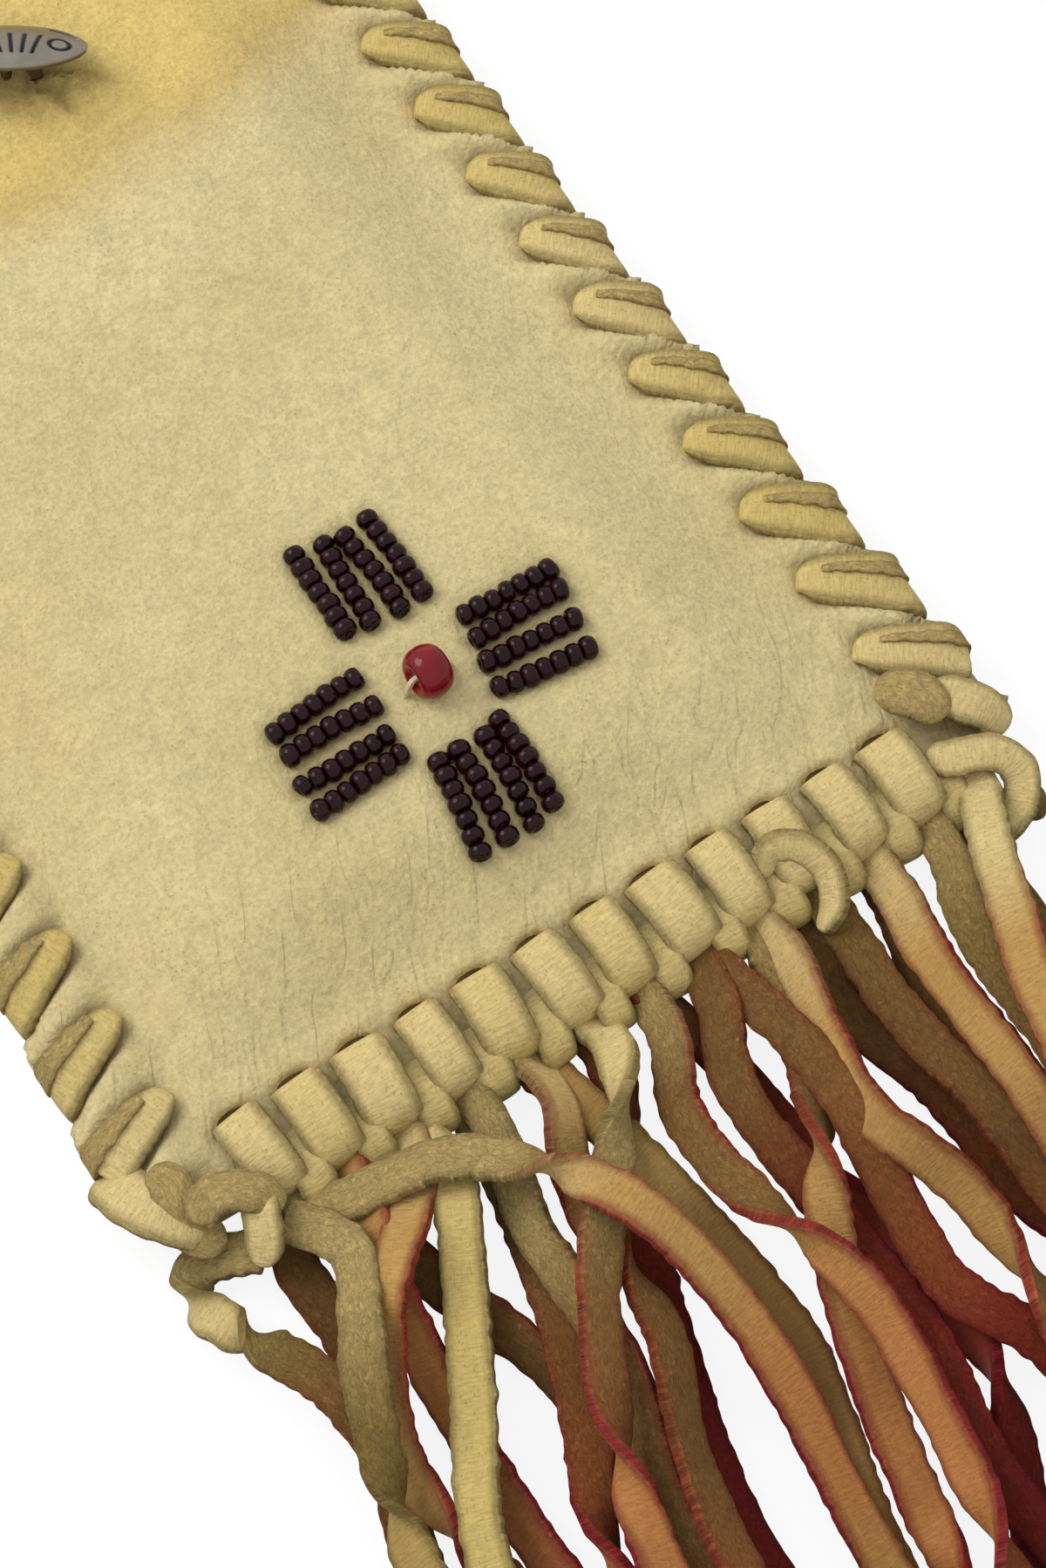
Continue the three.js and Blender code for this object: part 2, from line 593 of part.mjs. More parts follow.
function plateGeometry() {
  const under = [];
  const over = [];
  for (let i = 0; i <= PLATE_RINGS; i += 1) {
    const r = i / PLATE_RINGS;
    const height = PLATE_DOME * (1 - r ** 2);
    under.push(new THREE.Vector2(r, height));
    over.unshift(new THREE.Vector2(r, height + PLATE_THICKNESS));
  }
  const geometry = new THREE.LatheGeometry([...under, ...over], PLATE_SIDES);
  geometry.rotateX(Math.PI / 2);
  const place = geometry.getAttribute('position');
  for (let i = 0; i < place.count; i += 1) {
    const reach = plateReach(Math.atan2(place.getY(i), place.getX(i)));
    place.setXYZ(i, place.getX(i) * reach, place.getY(i) * reach, place.getZ(i));
  }
  geometry.computeVertexNormals();
  return geometry;
}

const plate = addPiece('button_plate', plateGeometry(), silverMaterial, button);
plate.position.z = eyeRadius + SHANK_WIRE + CLEARANCE - PLATE_DOME;

export default bag;
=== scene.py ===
# %% [markdown]
# # A beaded fringe bag
# A flat pouch of soft pale hide lies on its back. Its sides are whipped with flat laces, a fringe
# of dyed strips hangs from its bottom seam, and its front carries beadwork and a silver button.
# The CAD frame holds every piece as a plain solid. This file builds the looks round that frame,
# in the same place and at the same size. All lengths below are millimetres until a mesh is done.

import math
import random
from collections import namedtuple

import bmesh
import bpy
from mathutils import Matrix, Vector, kdtree, noise


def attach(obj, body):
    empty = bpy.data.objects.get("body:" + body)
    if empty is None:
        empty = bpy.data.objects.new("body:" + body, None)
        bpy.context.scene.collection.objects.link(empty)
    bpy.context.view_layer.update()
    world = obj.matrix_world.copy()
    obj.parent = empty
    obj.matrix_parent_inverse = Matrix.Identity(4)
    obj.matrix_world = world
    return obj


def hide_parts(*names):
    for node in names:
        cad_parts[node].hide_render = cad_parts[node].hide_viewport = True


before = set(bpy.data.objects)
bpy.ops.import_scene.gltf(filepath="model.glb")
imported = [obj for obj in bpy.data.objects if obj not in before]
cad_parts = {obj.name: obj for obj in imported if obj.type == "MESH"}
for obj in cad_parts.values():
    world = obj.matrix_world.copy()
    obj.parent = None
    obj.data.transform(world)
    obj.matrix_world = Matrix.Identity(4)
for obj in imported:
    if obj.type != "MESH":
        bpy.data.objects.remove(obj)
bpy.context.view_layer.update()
MM = 0.001
rng = random.Random(12)

# %% [markdown]
# ## Camera
# The photograph looks down on the bag from the fringe end, turned a third of a right angle, through
# a long lens. A camera could be aimed with a constraint, but a fixed line of sight is simpler and
# keeps nothing live. The lens and the distance give ten pixels to the millimetre at the beadwork.

# %% Camera
LOOK_AT = Vector((7.6, -59, 0)) * MM
LINE_OF_SIGHT = Vector((0.2106, 0.3098, -0.9272)).normalized()
CAMERA_DISTANCE = 499.7 * MM
camera_data = bpy.data.cameras.new("photo_camera")
camera_data.lens = 100
camera_data.sensor_width = 36
camera = bpy.data.objects.new("photo_camera", camera_data)
camera.location = LOOK_AT - LINE_OF_SIGHT * CAMERA_DISTANCE
camera.rotation_mode = "QUATERNION"
camera.rotation_quaternion = LINE_OF_SIGHT.to_track_quat("-Z", "Y")
bpy.context.scene.collection.objects.link(camera)
bpy.context.scene.camera = camera
print("camera at", [round(c / MM) for c in camera.location])

# %% [markdown]
# ## Tools for materials
# A colour is written as it looks on a screen, in sRGB hex, and one function makes it linear for the
# shader. A second small function adds a node, sets it and links it, so each finish reads as a list.
# An input may be a value, a socket, or a whole node, which then gives its first live output.

# %% Tools for materials
MIX_A, MIX_B = 6, 7
VALUE_A, VALUE_B = 2, 3


def linear(code):
    shares = [int(code[i:i + 2], 16) / 255 for i in (1, 3, 5)]
    return (*(s / 12.92 if s <= 0.04045 else ((s + 0.055) / 1.055) ** 2.4 for s in shares), 1.0)


def feed(tree, node, inputs):
    for key, value in inputs.items():
        if isinstance(value, bpy.types.Node):
            value = next(socket for socket in value.outputs if socket.enabled)
        if isinstance(value, bpy.types.NodeSocket):
            tree.links.new(value, node.inputs[key])
        else:
            node.inputs[key].default_value = value


def add(tree, kind, inputs=None, **settings):
    node = tree.nodes.new("ShaderNode" + kind)
    for key, value in settings.items():
        setattr(node, key, value)
    feed(tree, node, inputs or {})
    return node


def begin(name, **values):
    material = bpy.data.materials.new(name)
    material.use_nodes = True
    shader = material.node_tree.nodes["Principled BSDF"]
    feed(material.node_tree, shader, {key.replace("_", " "): value for key, value in values.items()})
    return material, material.node_tree, shader


def per_mm(size):
    return 1 / (size * MM)


print("pale buff is", [round(c, 2) for c in linear("#D2C592")])

# %% [markdown]
# ## Buckskin
# The two panels are tanned deer hide: soft, matt, with a fine pebbled grain, tiny pores and slack
# creases. An image texture would be quick but fixed in size. Noise and cell patterns on Object
# coordinates have real millimetre sizes and never repeat. Three painted attributes guide them:
# sheltered is the yellower hide that the flap once covered, grime_and_shade darkens the hide with
# wear round the holes and with painted shade in the holes, beside the bands and lace lobes, round
# the button and in its pucker folds, and slack is where the hide hangs loose enough to crease.

# %% Colours of the buckskin
buckskin, tree, shader = begin("buckskin_smooth_side", Roughness=0.8, Specular_IOR_Level=0.25,
                               Sheen_Weight=0.08, Sheen_Roughness=0.5)
place = add(tree, "TexCoord").outputs["Object"]
sheltered = add(tree, "Attribute", attribute_name="sheltered").outputs["Fac"]
grime_and_shade = add(tree, "Attribute", attribute_name="grime_and_shade").outputs["Fac"]
slack = add(tree, "Attribute", attribute_name="slack").outputs["Fac"]
cloudy = add(tree, "TexNoise", {"Vector": place, "Scale": per_mm(26), "Detail": 6.0, "Roughness": 0.65})
cloud = add(tree, "MapRange", {"Value": cloudy, "From Min": 0.3, "From Max": 0.7})
buff = add(tree, "Mix", {0: cloud, MIX_A: linear("#CCB983"), MIX_B: linear("#D8C793")}, data_type="RGBA")
inner = add(tree, "MapRange", {"Value": sheltered, "From Min": 0.55, "From Max": 1.0})
gold = add(tree, "Mix", {0: inner, MIX_A: linear("#C9A856"), MIX_B: linear("#DABF72")}, data_type="RGBA")
golden = add(tree, "Mix", {0: sheltered, MIX_A: buff, MIX_B: gold}, data_type="RGBA")
blotch = add(tree, "TexNoise", {"Vector": place, "Scale": per_mm(2.5), "Detail": 4.0})
# grime_and_shade darkens the hide towards dark brown: partly wear, partly painted shade and painted shadow.
soiled_and_shaded = add(tree, "Math", {0: grime_and_shade, 1: blotch}, operation="MULTIPLY")
aged_and_shaded = add(tree, "Mix", {0: soiled_and_shaded, MIX_A: golden, MIX_B: linear("#7A6236")}, data_type="RGBA")
print("coloured", buckskin.name)

# %% [markdown]
# Pores are small dark dots, thicker in some patches than in others. Real ones lie closer than the
# 0.75 mm used here, which is as coarse as they need to be to show. Creases are thin dark lines
# where a stretched noise crosses its middle value.

# %% Pores and creases of the buckskin
pore_cells = add(tree, "TexVoronoi", {"Vector": place, "Scale": per_mm(0.75), "Randomness": 1.0})
pore = add(tree, "MapRange", {"Value": pore_cells, "From Min": 0.08, "From Max": 0.3,
                              "To Min": 1.0, "To Max": 0.0}, interpolation_type="SMOOTHSTEP")
pore_share = add(tree, "TexNoise", {"Vector": place, "Scale": per_mm(5), "Detail": 3.0})
pore_seen = add(tree, "MapRange", {"Value": pore_share, "From Min": 0.4, "From Max": 0.7,
                                   "To Min": 0.08, "To Max": 0.5})
pore_dark = add(tree, "Math", {0: pore, 1: pore_seen}, operation="MULTIPLY")
pored = add(tree, "Mix", {0: pore_dark, MIX_A: aged_and_shaded, MIX_B: linear("#8F7440")}, data_type="RGBA")
slanted = add(tree, "Mapping", {"Vector": place, "Rotation": (0, 0, math.radians(-24)), "Scale": (1, 8, 1)},
              vector_type="TEXTURE")
crease_noise = add(tree, "TexNoise", {"Vector": slanted, "Scale": per_mm(4.0), "Detail": 2.0,
                                      "Distortion": 0.15})
crease_far = add(tree, "Math", {0: crease_noise, 1: 0.5}, operation="SUBTRACT")
crease_size = add(tree, "Math", {0: crease_far}, operation="ABSOLUTE")
crease = add(tree, "MapRange", {"Value": crease_size, "From Min": 0.0, "From Max": 0.05},
             interpolation_type="SMOOTHSTEP")
smoothness = add(tree, "Math", {0: 1.0, 1: slack}, operation="SUBTRACT")
crease_depth = add(tree, "Math", {0: crease, 1: smoothness}, operation="MAXIMUM")
print("pores and creases added to", buckskin.name)

# %% Grain of the buckskin
pebble = add(tree, "TexNoise", {"Vector": place, "Scale": per_mm(0.6), "Detail": 4.0, "Roughness": 0.62})
ripple = add(tree, "TexNoise", {"Vector": place, "Scale": per_mm(2.4), "Detail": 3.0, "Distortion": 0.8})
pebble_tone = add(tree, "MapRange", {"Value": pebble, "From Min": 0.36, "From Max": 0.64,
                                     "To Min": 0.86, "To Max": 1.09})
ripple_tone = add(tree, "MapRange", {"Value": ripple, "From Min": 0.35, "From Max": 0.65,
                                     "To Min": 0.94, "To Max": 1.05})
crease_tone = add(tree, "MapRange", {"Value": crease_depth, "To Min": 0.955, "To Max": 1.0})
fine_tone = add(tree, "Math", {0: pebble_tone, 1: ripple_tone}, operation="MULTIPLY")
worn_tone = add(tree, "Math", {0: fine_tone, 1: crease_tone}, operation="MULTIPLY")
toned = add(tree, "VectorMath", {0: pored, "Scale": worn_tone}, operation="SCALE")
grain = add(tree, "Bump", {"Height": pebble, "Distance": 0.22 * MM, "Strength": 0.9})
rippled = add(tree, "Bump", {"Height": ripple, "Distance": 0.4 * MM, "Strength": 0.6, "Normal": grain})
creased = add(tree, "Bump", {"Height": crease_depth, "Distance": 0.1 * MM, "Normal": rippled})
feed(tree, shader, {"Base Color": toned, "Normal": creased})
print("made", buckskin.name)

# %% [markdown]
# ## Cut strips of hide
# Laces and fringe are cut from hide too. Their grain side is smooth, with fine fibres along the strip
# and small wrinkles across it. Their flesh side is a felt of loose fibre, so it is rougher, more
# mottled and more uneven. Three attributes are painted on the mesh, because patterns in space would
# not follow the twists: dye_and_shade is the dye, darkened as painted shade where a strip lies low,
# flesh tells the side, and lay holds millimetres across and along the strip. A Mapping scale on lay is
# therefore a number of marks to the millimetre.

# %% Grain side of the cut strips
strip_hide, tree, shader = begin("cut_hide_grain_and_flesh", Specular_IOR_Level=0.15)
lay = add(tree, "Attribute", attribute_name="lay").outputs["Vector"]
dye_and_shade = add(tree, "Attribute", attribute_name="dye_and_shade").outputs["Color"]
flesh = add(tree, "Attribute", attribute_name="flesh").outputs["Fac"]
along = add(tree, "Mapping", {"Vector": lay, "Scale": (2.6, 0.35, 1)})
fibre = add(tree, "TexNoise", {"Vector": along, "Scale": 1.0, "Detail": 5.0, "Roughness": 0.65})
over = add(tree, "Mapping", {"Vector": lay, "Scale": (0.7, 2.8, 1)})
wrinkle = add(tree, "TexNoise", {"Vector": over, "Scale": 1.0, "Detail": 4.0, "Roughness": 0.6})
fibre_tone = add(tree, "MapRange", {"Value": fibre, "From Min": 0.3, "From Max": 0.7,
                                    "To Min": 0.94, "To Max": 1.05})
wrinkle_tone = add(tree, "MapRange", {"Value": wrinkle, "From Min": 0.35, "From Max": 0.6,
                                      "To Min": 0.82, "To Max": 1.06})
grain_tone = add(tree, "Math", {0: fibre_tone, 1: wrinkle_tone}, operation="MULTIPLY")
dashes = add(tree, "Mapping", {"Vector": lay, "Scale": (2.4, 1.1, 1)})
dash_cells = add(tree, "TexVoronoi", {"Vector": dashes, "Scale": 1.0})
dash = add(tree, "MapRange", {"Value": dash_cells, "From Min": 0.08, "From Max": 0.3,
                              "To Min": 0.42, "To Max": 0.0})
on_grain = add(tree, "Math", {0: 1.0, 1: flesh}, operation="SUBTRACT")
dash_seen = add(tree, "Math", {0: dash, 1: on_grain}, operation="MULTIPLY")
print("fibres, wrinkles and dashes of", strip_hide.name)

# %% Flesh side of the cut strips
felt = add(tree, "Mapping", {"Vector": lay, "Scale": (2.2, 1.2, 1)})
fuzz = add(tree, "TexNoise", {"Vector": felt, "Scale": 1.0, "Detail": 7.0, "Roughness": 0.78,
                              "Distortion": 1.0})
clump = add(tree, "TexNoise", {"Vector": lay, "Scale": 0.5, "Detail": 3.0})
fuzz_tone = add(tree, "MapRange", {"Value": fuzz, "From Min": 0.34, "From Max": 0.66,
                                   "To Min": 0.62, "To Max": 1.45})
clump_tone = add(tree, "MapRange", {"Value": clump, "From Min": 0.3, "From Max": 0.7,
                                    "To Min": 0.86, "To Max": 1.14})
flesh_tone = add(tree, "Math", {0: fuzz_tone, 1: clump_tone}, operation="MULTIPLY")
fuzz_height = add(tree, "Math", {0: flesh_tone, 1: flesh}, operation="MULTIPLY")
print("felt of", strip_hide.name)

# %% Both sides of the cut strips
tone = add(tree, "Mix", {0: flesh, VALUE_A: grain_tone, VALUE_B: flesh_tone})
toned = add(tree, "VectorMath", {0: dye_and_shade, "Scale": tone}, operation="SCALE")
dotted = add(tree, "Mix", {0: dash_seen, MIX_A: toned, MIX_B: linear("#7A5A30")}, data_type="RGBA")
matt = add(tree, "MapRange", {"Value": flesh, "To Min": 0.6, "To Max": 0.95})
fibre_bump = add(tree, "Bump", {"Height": grain_tone, "Distance": 0.4 * MM, "Strength": 0.7})
fuzz_bump = add(tree, "Bump", {"Height": fuzz_height, "Distance": 0.45 * MM, "Normal": fibre_bump})
feed(tree, shader, {"Base Color": dotted, "Roughness": matt, "Normal": fuzz_bump})
print("made", strip_hide.name)

# %% [markdown]
# ## Glass of the beads
# Seed beads are drawn glass, so dark that only a plum tint shows. Clear glass with a dark volume would
# be closer to the stuff but slow and noisy, so a glossy dark coat stands for it. The large bead is red
# glass over a pale core, which the painted attribute core brings out round its bore.

# %% Glass of the beads
garnet_glass, tree, shader = begin("dark_garnet_seed_glass", Roughness=0.09, IOR=1.52,
                                   Specular_IOR_Level=0.16)
place = add(tree, "TexCoord").outputs["Object"]
bead_tone = add(tree, "TexNoise", {"Vector": place, "Scale": per_mm(2.4), "Detail": 1.0})
garnet = add(tree, "Mix", {0: bead_tone, MIX_A: linear("#0E0305"), MIX_B: linear("#2E0A12")},
             data_type="RGBA")
feed(tree, shader, {"Base Color": garnet})

red_glass, tree, shader = begin("red_glass_over_pale_core", Roughness=0.18, IOR=1.52,
                                Specular_IOR_Level=0.25)
place = add(tree, "TexCoord").outputs["Object"]
core = add(tree, "Attribute", attribute_name="core").outputs["Fac"]
cloud = add(tree, "TexNoise", {"Vector": place, "Scale": per_mm(2.0), "Detail": 3.0})
red = add(tree, "Mix", {0: cloud, MIX_A: linear("#5C0610"), MIX_B: linear("#90101C")}, data_type="RGBA")
cored = add(tree, "Mix", {0: core, MIX_A: red, MIX_B: linear("#D9CDB4")}, data_type="RGBA")
feed(tree, shader, {"Base Color": cored})
print("made", garnet_glass.name, "and", red_glass.name)

# %% [markdown]
# ## Thread and thong
# The thread is waxed and off-white, with a mottle that stands for its ply. The thong is dark hide, waxed
# until it is nearly smooth, so it is browner and less matt than the strips.

# %% Thread and thong
sewing_thread, tree, shader = begin("waxed_sewing_thread", Roughness=0.8)
place = add(tree, "TexCoord").outputs["Object"]
twist = add(tree, "TexNoise", {"Vector": place, "Scale": per_mm(0.3), "Detail": 3.0})
ply = add(tree, "Mix", {0: twist, MIX_A: linear("#A89468"), MIX_B: linear("#E6DAB8")}, data_type="RGBA")
feed(tree, shader, {"Base Color": ply})

waxed_thong, tree, shader = begin("waxed_hide_thong", Roughness=0.7)
place = add(tree, "TexCoord").outputs["Object"]
thong_grain = add(tree, "TexNoise", {"Vector": place, "Scale": per_mm(0.8), "Detail": 5.0})
thong_tone = add(tree, "Mix", {0: thong_grain, MIX_A: linear("#2E1C10"), MIX_B: linear("#664426")},
                 data_type="RGBA")
thong_bump = add(tree, "Bump", {"Height": thong_grain, "Distance": 0.2 * MM})
feed(tree, shader, {"Base Color": thong_tone, "Normal": thong_bump})
print("made", sewing_thread.name, "and", waxed_thong.name)

# %% [markdown]
# ## Silver
# The button is silver that has tarnished to a warm grey and is nearly black in its stamped marks. The
# painted attribute recess tells the shader where those are. Polish wears unevenly, so one noise moves
# both the colour and the roughness.

# %% Silver
silver, tree, shader = begin("tarnished_stamped_silver", Metallic=1.0)
place = add(tree, "TexCoord").outputs["Object"]
recess = add(tree, "Attribute", attribute_name="recess").outputs["Fac"]
tarnish = add(tree, "TexNoise", {"Vector": place, "Scale": per_mm(3.0), "Detail": 6.0, "Roughness": 0.7})
tarnished = add(tree, "Mix", {0: tarnish, MIX_A: linear("#6C665C"), MIX_B: linear("#9E978B")},
                data_type="RGBA")
stamped = add(tree, "Mix", {0: recess, MIX_A: tarnished, MIX_B: linear("#232126")}, data_type="RGBA")
worn = add(tree, "MapRange", {"Value": tarnish, "From Min": 0.3, "From Max": 0.7,
                              "To Min": 0.3, "To Max": 0.5})
scratches = add(tree, "TexNoise", {"Vector": place, "Scale": per_mm(0.4), "Detail": 4.0})
scratched = add(tree, "Bump", {"Height": scratches, "Distance": 0.02 * MM})
feed(tree, shader, {"Base Color": stamped, "Roughness": worn, "Normal": scratched})
print("made", len(bpy.data.materials), "materials")

# %% [markdown]
# ## Finishing a piece
# Every piece is modelled in millimetres in a bmesh, then scaled to metres once, so the numbers stay
# easy to read. Its object stays at the origin, rides on a body of the frame and stands for the CAD
# solids that it replaces. Thickness and smoothing are modifiers, so the mesh itself stays simple.


# %% Finishing a piece
def finish_piece(bm, name, material, nodes, body="bag", smoothing=0, wall=0.0):
    bmesh.ops.scale(bm, vec=(MM, MM, MM), verts=bm.verts)
    mesh = bpy.data.meshes.new(name)
    bm.to_mesh(mesh)
    bm.free()
    mesh.materials.append(material)
    mesh.shade_smooth()
    piece = bpy.data.objects.new(name, mesh)
    bpy.context.scene.collection.objects.link(piece)
    if wall:
        solid = piece.modifiers.new("hide_thickness", "SOLIDIFY")
        solid.thickness = wall * MM
        solid.offset = -1
    if smoothing:
        smooth = piece.modifiers.new("smooth", "SUBSURF")
        smooth.levels = smooth.render_levels = smoothing
    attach(piece, body)
    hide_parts(*nodes)
    print(name, len(mesh.polygons), "faces")
    return piece


print("a millimetre is", MM, "in the scene")

# %% [markdown]
# ## Outline of the pouch
# The sizes below are those of the CAD model, so holes, laces and strips meet. The lacing draws the
# sides in at the waist and lets them flare at the bottom. Straight ramps would leave ridges, so smooth
# steps make the front swell from its flat seam margins to the full depth of the pouch.

# %% Outline of the pouch
HIDE, STRIP, GAP, POUCH_DEPTH = 1.4, 1.4, 0.3, 7.5
BOTTOM, MOUTH, FLAP_END = -86.0, 86.0, 143.0
BOTTOM_HALF, MOUTH_HALF, FLAP_CORNER = 56.0, 52.0, 30.0
SKEW = math.tan(math.radians(2.5))
MARGIN_FLAT, FRONT_SWELL, BACK_SETTLE, FLAP_SETTLE = 10.0, 27.0, 21.0, 25.0
SEAM_LIFT = STRIP + 2 * GAP
SEAM_FRONT = SEAM_LIFT + HIDE + GAP
FRONT_INSIDE = HIDE + POUCH_DEPTH
LACE_OVER = SEAM_FRONT + HIDE + GAP + STRIP / 2
LACE_UNDER = SEAM_LIFT - GAP - STRIP / 2
SIDE_MARGIN, LACE_PITCH, LOWEST_HOLE, SIDE_HOLES = 7.5, 11.0, BOTTOM + 16.2, 14
FRINGE_COUNT, FRINGE_REACH, FRINGE_MARGIN = 12, 42.2, 8.0
WAIST, WAIST_HEIGHT, WAIST_SPREAD, FLARE, FLARE_END = 1.6, -4.0, 34.0, 1.5, -45.0


def soft_step(value, low, high):
    share = min(max((value - low) / (high - low), 0.0), 1.0)
    return share * share * (3 - 2 * share)


def bulge(value, width):
    return math.exp(-(value / width) ** 2)


def cut_half_width(y):
    return BOTTOM_HALF + (MOUTH_HALF - BOTTOM_HALF) * min((y - BOTTOM) / (MOUTH - BOTTOM), 1.0)


def half_width(y):
    drawn_in = WAIST * bulge(y - WAIST_HEIGHT, WAIST_SPREAD)
    return cut_half_width(y) - drawn_in + FLARE * (1 - soft_step(y, BOTTOM, FLARE_END))


def back_half_width(y):
    into = max(y - (FLAP_END - FLAP_CORNER), 0.0)
    return half_width(y) - FLAP_CORNER + math.sqrt(max(FLAP_CORNER ** 2 - into ** 2, 0.0))


def bottom_edge(x):
    return BOTTOM - x * SKEW


def front_swell(x, y):
    aside = soft_step(half_width(y) - abs(x), MARGIN_FLAT, FRONT_SWELL)
    upward = soft_step(y - bottom_edge(x), MARGIN_FLAT, FRONT_SWELL)
    return SEAM_FRONT + HIDE + (FRONT_INSIDE - SEAM_FRONT) * aside * upward


side_holes = {
    side: [Vector((side * (cut_half_width(y) - SIDE_MARGIN), y))
           for y in (LOWEST_HOLE + i * LACE_PITCH for i in range(SIDE_HOLES))]
    for side in (-1, 1)
}
fringe_x = [FRINGE_REACH * (2 * i / (FRINGE_COUNT - 1) - 1) for i in range(FRINGE_COUNT)]
fringe_holes = [Vector((x, bottom_edge(x) + FRINGE_MARGIN)) for x in fringe_x]
print(len(side_holes[1]), "holes a side and", len(fringe_holes), "along the bottom")

# %% [markdown]
# ## Relief of the front
# Lacing pulls the hide in at each stitch, lets it puff up between and gathers it into small folds. The
# bands of the fringe press on the bottom margin, beads sit in shallow troughs, the button's thong draws
# a pucker and the cut rim curls down. Sculpting could give these forms, but not tell their height. So
# each is a small function of place, and the beads can later ask how high the hide is.

# %% Places on the front
# Drop, spread and width of a lace stitch on the left (-1) and on the right (1).
FRONT_DROP = {-1: 0.3 * LACE_PITCH, 1: 0.56 * LACE_PITCH}
FAN_SPREAD = {-1: 0.3, 1: 0.45}
LACE_WIDTH = {-1: 1.0, 1: 1.2}
BUTTON_PLACE = Vector((6.0, 48.5))
PUCKER_PLACE = Vector((11.0, 44.0))
RED_BEAD_PLACE = Vector((3.5, -46.0))
# Middle and direction in degrees of each lane of seed beads.
LANES = {
    "upper": [(-0.8, -30.1, -91.5), (2.4, -30.9, -94.1), (5.5, -31.4, -88.4), (8.8, -31.1, -89.5)],
    "right": [(16.8, -42.2, -3.0), (16.4, -45.2, -1.8), (15.7, -48.6, -5.5), (15.1, -52.2, -8.3)],
    "lower": [(-2.1, -60.6, -98.9), (1.0, -60.7, -95.5), (4.4, -61.0, -94.4), (7.2, -60.2, -91.5)],
    "left": [(-9.0, -41.6, 2.8), (-9.0, -45.2, -1.1), (-9.8, -49.0, -0.5), (-9.8, -52.2, 2.9)],
}
LANE_HALF = 6.4
BAND_HALF = [3.1, 3.2, 3.4, 2.9, 3.3, 3.1, 3.0, 3.4, 3.0, 3.0, 2.9, 3.2]
print(sum(len(lanes) for lanes in LANES.values()), "lanes of beads")


# %% What shapes the front
def stitch_puff(x, y):
    side = 1 if x > 0 else -1
    outward = abs(x) - cut_half_width(y) + SIDE_MARGIN
    level = (y + FRONT_DROP[side] / SIDE_MARGIN * outward - LOWEST_HOLE) / LACE_PITCH
    away = abs(level - round(level)) * LACE_PITCH
    half = 2.5 * LACE_WIDTH[side] + FAN_SPREAD[side] * 0.24 * max(outward, 0.0)
    return soft_step(away, half - 0.6, half + 1.4) * (1 - soft_step(y, MOUTH - 8, MOUTH - 2))


def lane_trough(x, y):
    depth = 0.0
    for lanes in LANES.values():
        for mid_x, mid_y, turn in lanes:
            dx, dy = x - mid_x, y - mid_y
            if abs(dx) + abs(dy) > 12:
                continue
            c, s = math.cos(math.radians(turn)), math.sin(math.radians(turn))
            ahead = max(abs(dx * c + dy * s) - LANE_HALF + 0.6, 0.0)
            depth = max(depth, bulge(math.hypot(ahead, -dx * s + dy * c), 1.25))
    return depth


def hole_pull(x, y):
    pull = 0.0
    for hole in side_holes[1 if x > 0 else -1]:
        if abs(y - hole.y) < 7:
            pull += 0.5 * bulge((hole - Vector((x, y))).length, 2.2)
    for hole in fringe_holes:
        if abs(x - hole.x) < 6:
            pull += 1.6 * bulge((x - hole.x) / 2.8, 1) * bulge((y - hole.y) / 1.5, 1)
    return pull


def rim_curl(x, y):
    """How far the cut edge of a panel bends down, the same for both panels."""
    near = min(half_width(y) - abs(x), y - bottom_edge(x))
    return min(0.3 * max(2.4 - near, 0.0) ** 2, 1.5)


def pucker(x, y):
    """How far the hide is drawn together beside the button, and whether a fold is high or low there."""
    turn = math.atan2(y - BUTTON_PLACE.y, x - BUTTON_PLACE.x)
    fold = math.cos(14 * turn + 4 * noise.noise(Vector((x / 3, y / 3, 2.0))))
    return bulge((Vector((x, y)) - PUCKER_PLACE).length, 4.6), fold


print("the rim curls down by", round(rim_curl(0, BOTTOM), 1), "mm")

# %% Relief of the front
# Length, height and noise layer of the slow waves of the hide.
WAVES = [(26, 0.55, 3.1), (8, 0.16, 7.7), (2.4, 0.05, 1.3)]
PUFF_HEIGHT, STITCH_SINK, BAND_RIPPLE, SEAM_RIDGE, GATHER_HEIGHT = 2.3, 0.3, 0.5, 0.5, 0.16
HOLE_SINK, LANE_SINK, RED_BEAD_SINK, BUTTON_SINK = 0.6, 0.7, 0.5, 1.3


def gathers(x, y, inward, upward):
    beside = (1 - soft_step(inward, 9, 18)) * noise.noise(Vector((x / 7, y / 1.3, 4.4)))
    below = (1 - soft_step(upward, 10, 22)) * noise.noise(Vector((x / 1.3, y / 7, 8.8)))
    return GATHER_HEIGHT * (beside + below)


def relief(x, y):
    spot = Vector((x, y))
    inward = half_width(y) - abs(x)
    upward = y - bottom_edge(x)
    height = sum(high * noise.noise(Vector((x / long, y / long, layer))) for long, high, layer in WAVES)
    margin = 1 - soft_step(inward, 5.0, 11)
    height += margin * (PUFF_HEIGHT * stitch_puff(x, y) - STITCH_SINK)
    seam = (1 - soft_step(upward, 6.5, 12)) * (1 - margin)
    between = 0.5 * math.cos(2 * math.pi * (x + FRINGE_REACH) / (fringe_x[1] - fringe_x[0]))
    height -= seam * BAND_RIPPLE * between
    height -= HOLE_SINK * hole_pull(x, y)
    height += SEAM_RIDGE * bulge(upward - 10.8, 1.5) * (0.6 + 0.4 * noise.noise(Vector((x / 3, 1.7, 0))))
    height += gathers(x, y, inward, upward)
    height -= LANE_SINK * lane_trough(x, y)
    height -= RED_BEAD_SINK * bulge((spot - RED_BEAD_PLACE).length, 3.2)
    height -= BUTTON_SINK * bulge((spot - BUTTON_PLACE).length, 4.5)
    drawn, fold = pucker(x, y)
    return height + (0.6 + 0.7 * fold) * drawn


def front_top(x, y):
    return front_swell(x, y) + relief(x, y) - rim_curl(x, y)


print("hide at the red bead is", round(front_top(*RED_BEAD_PLACE), 1), "mm up")

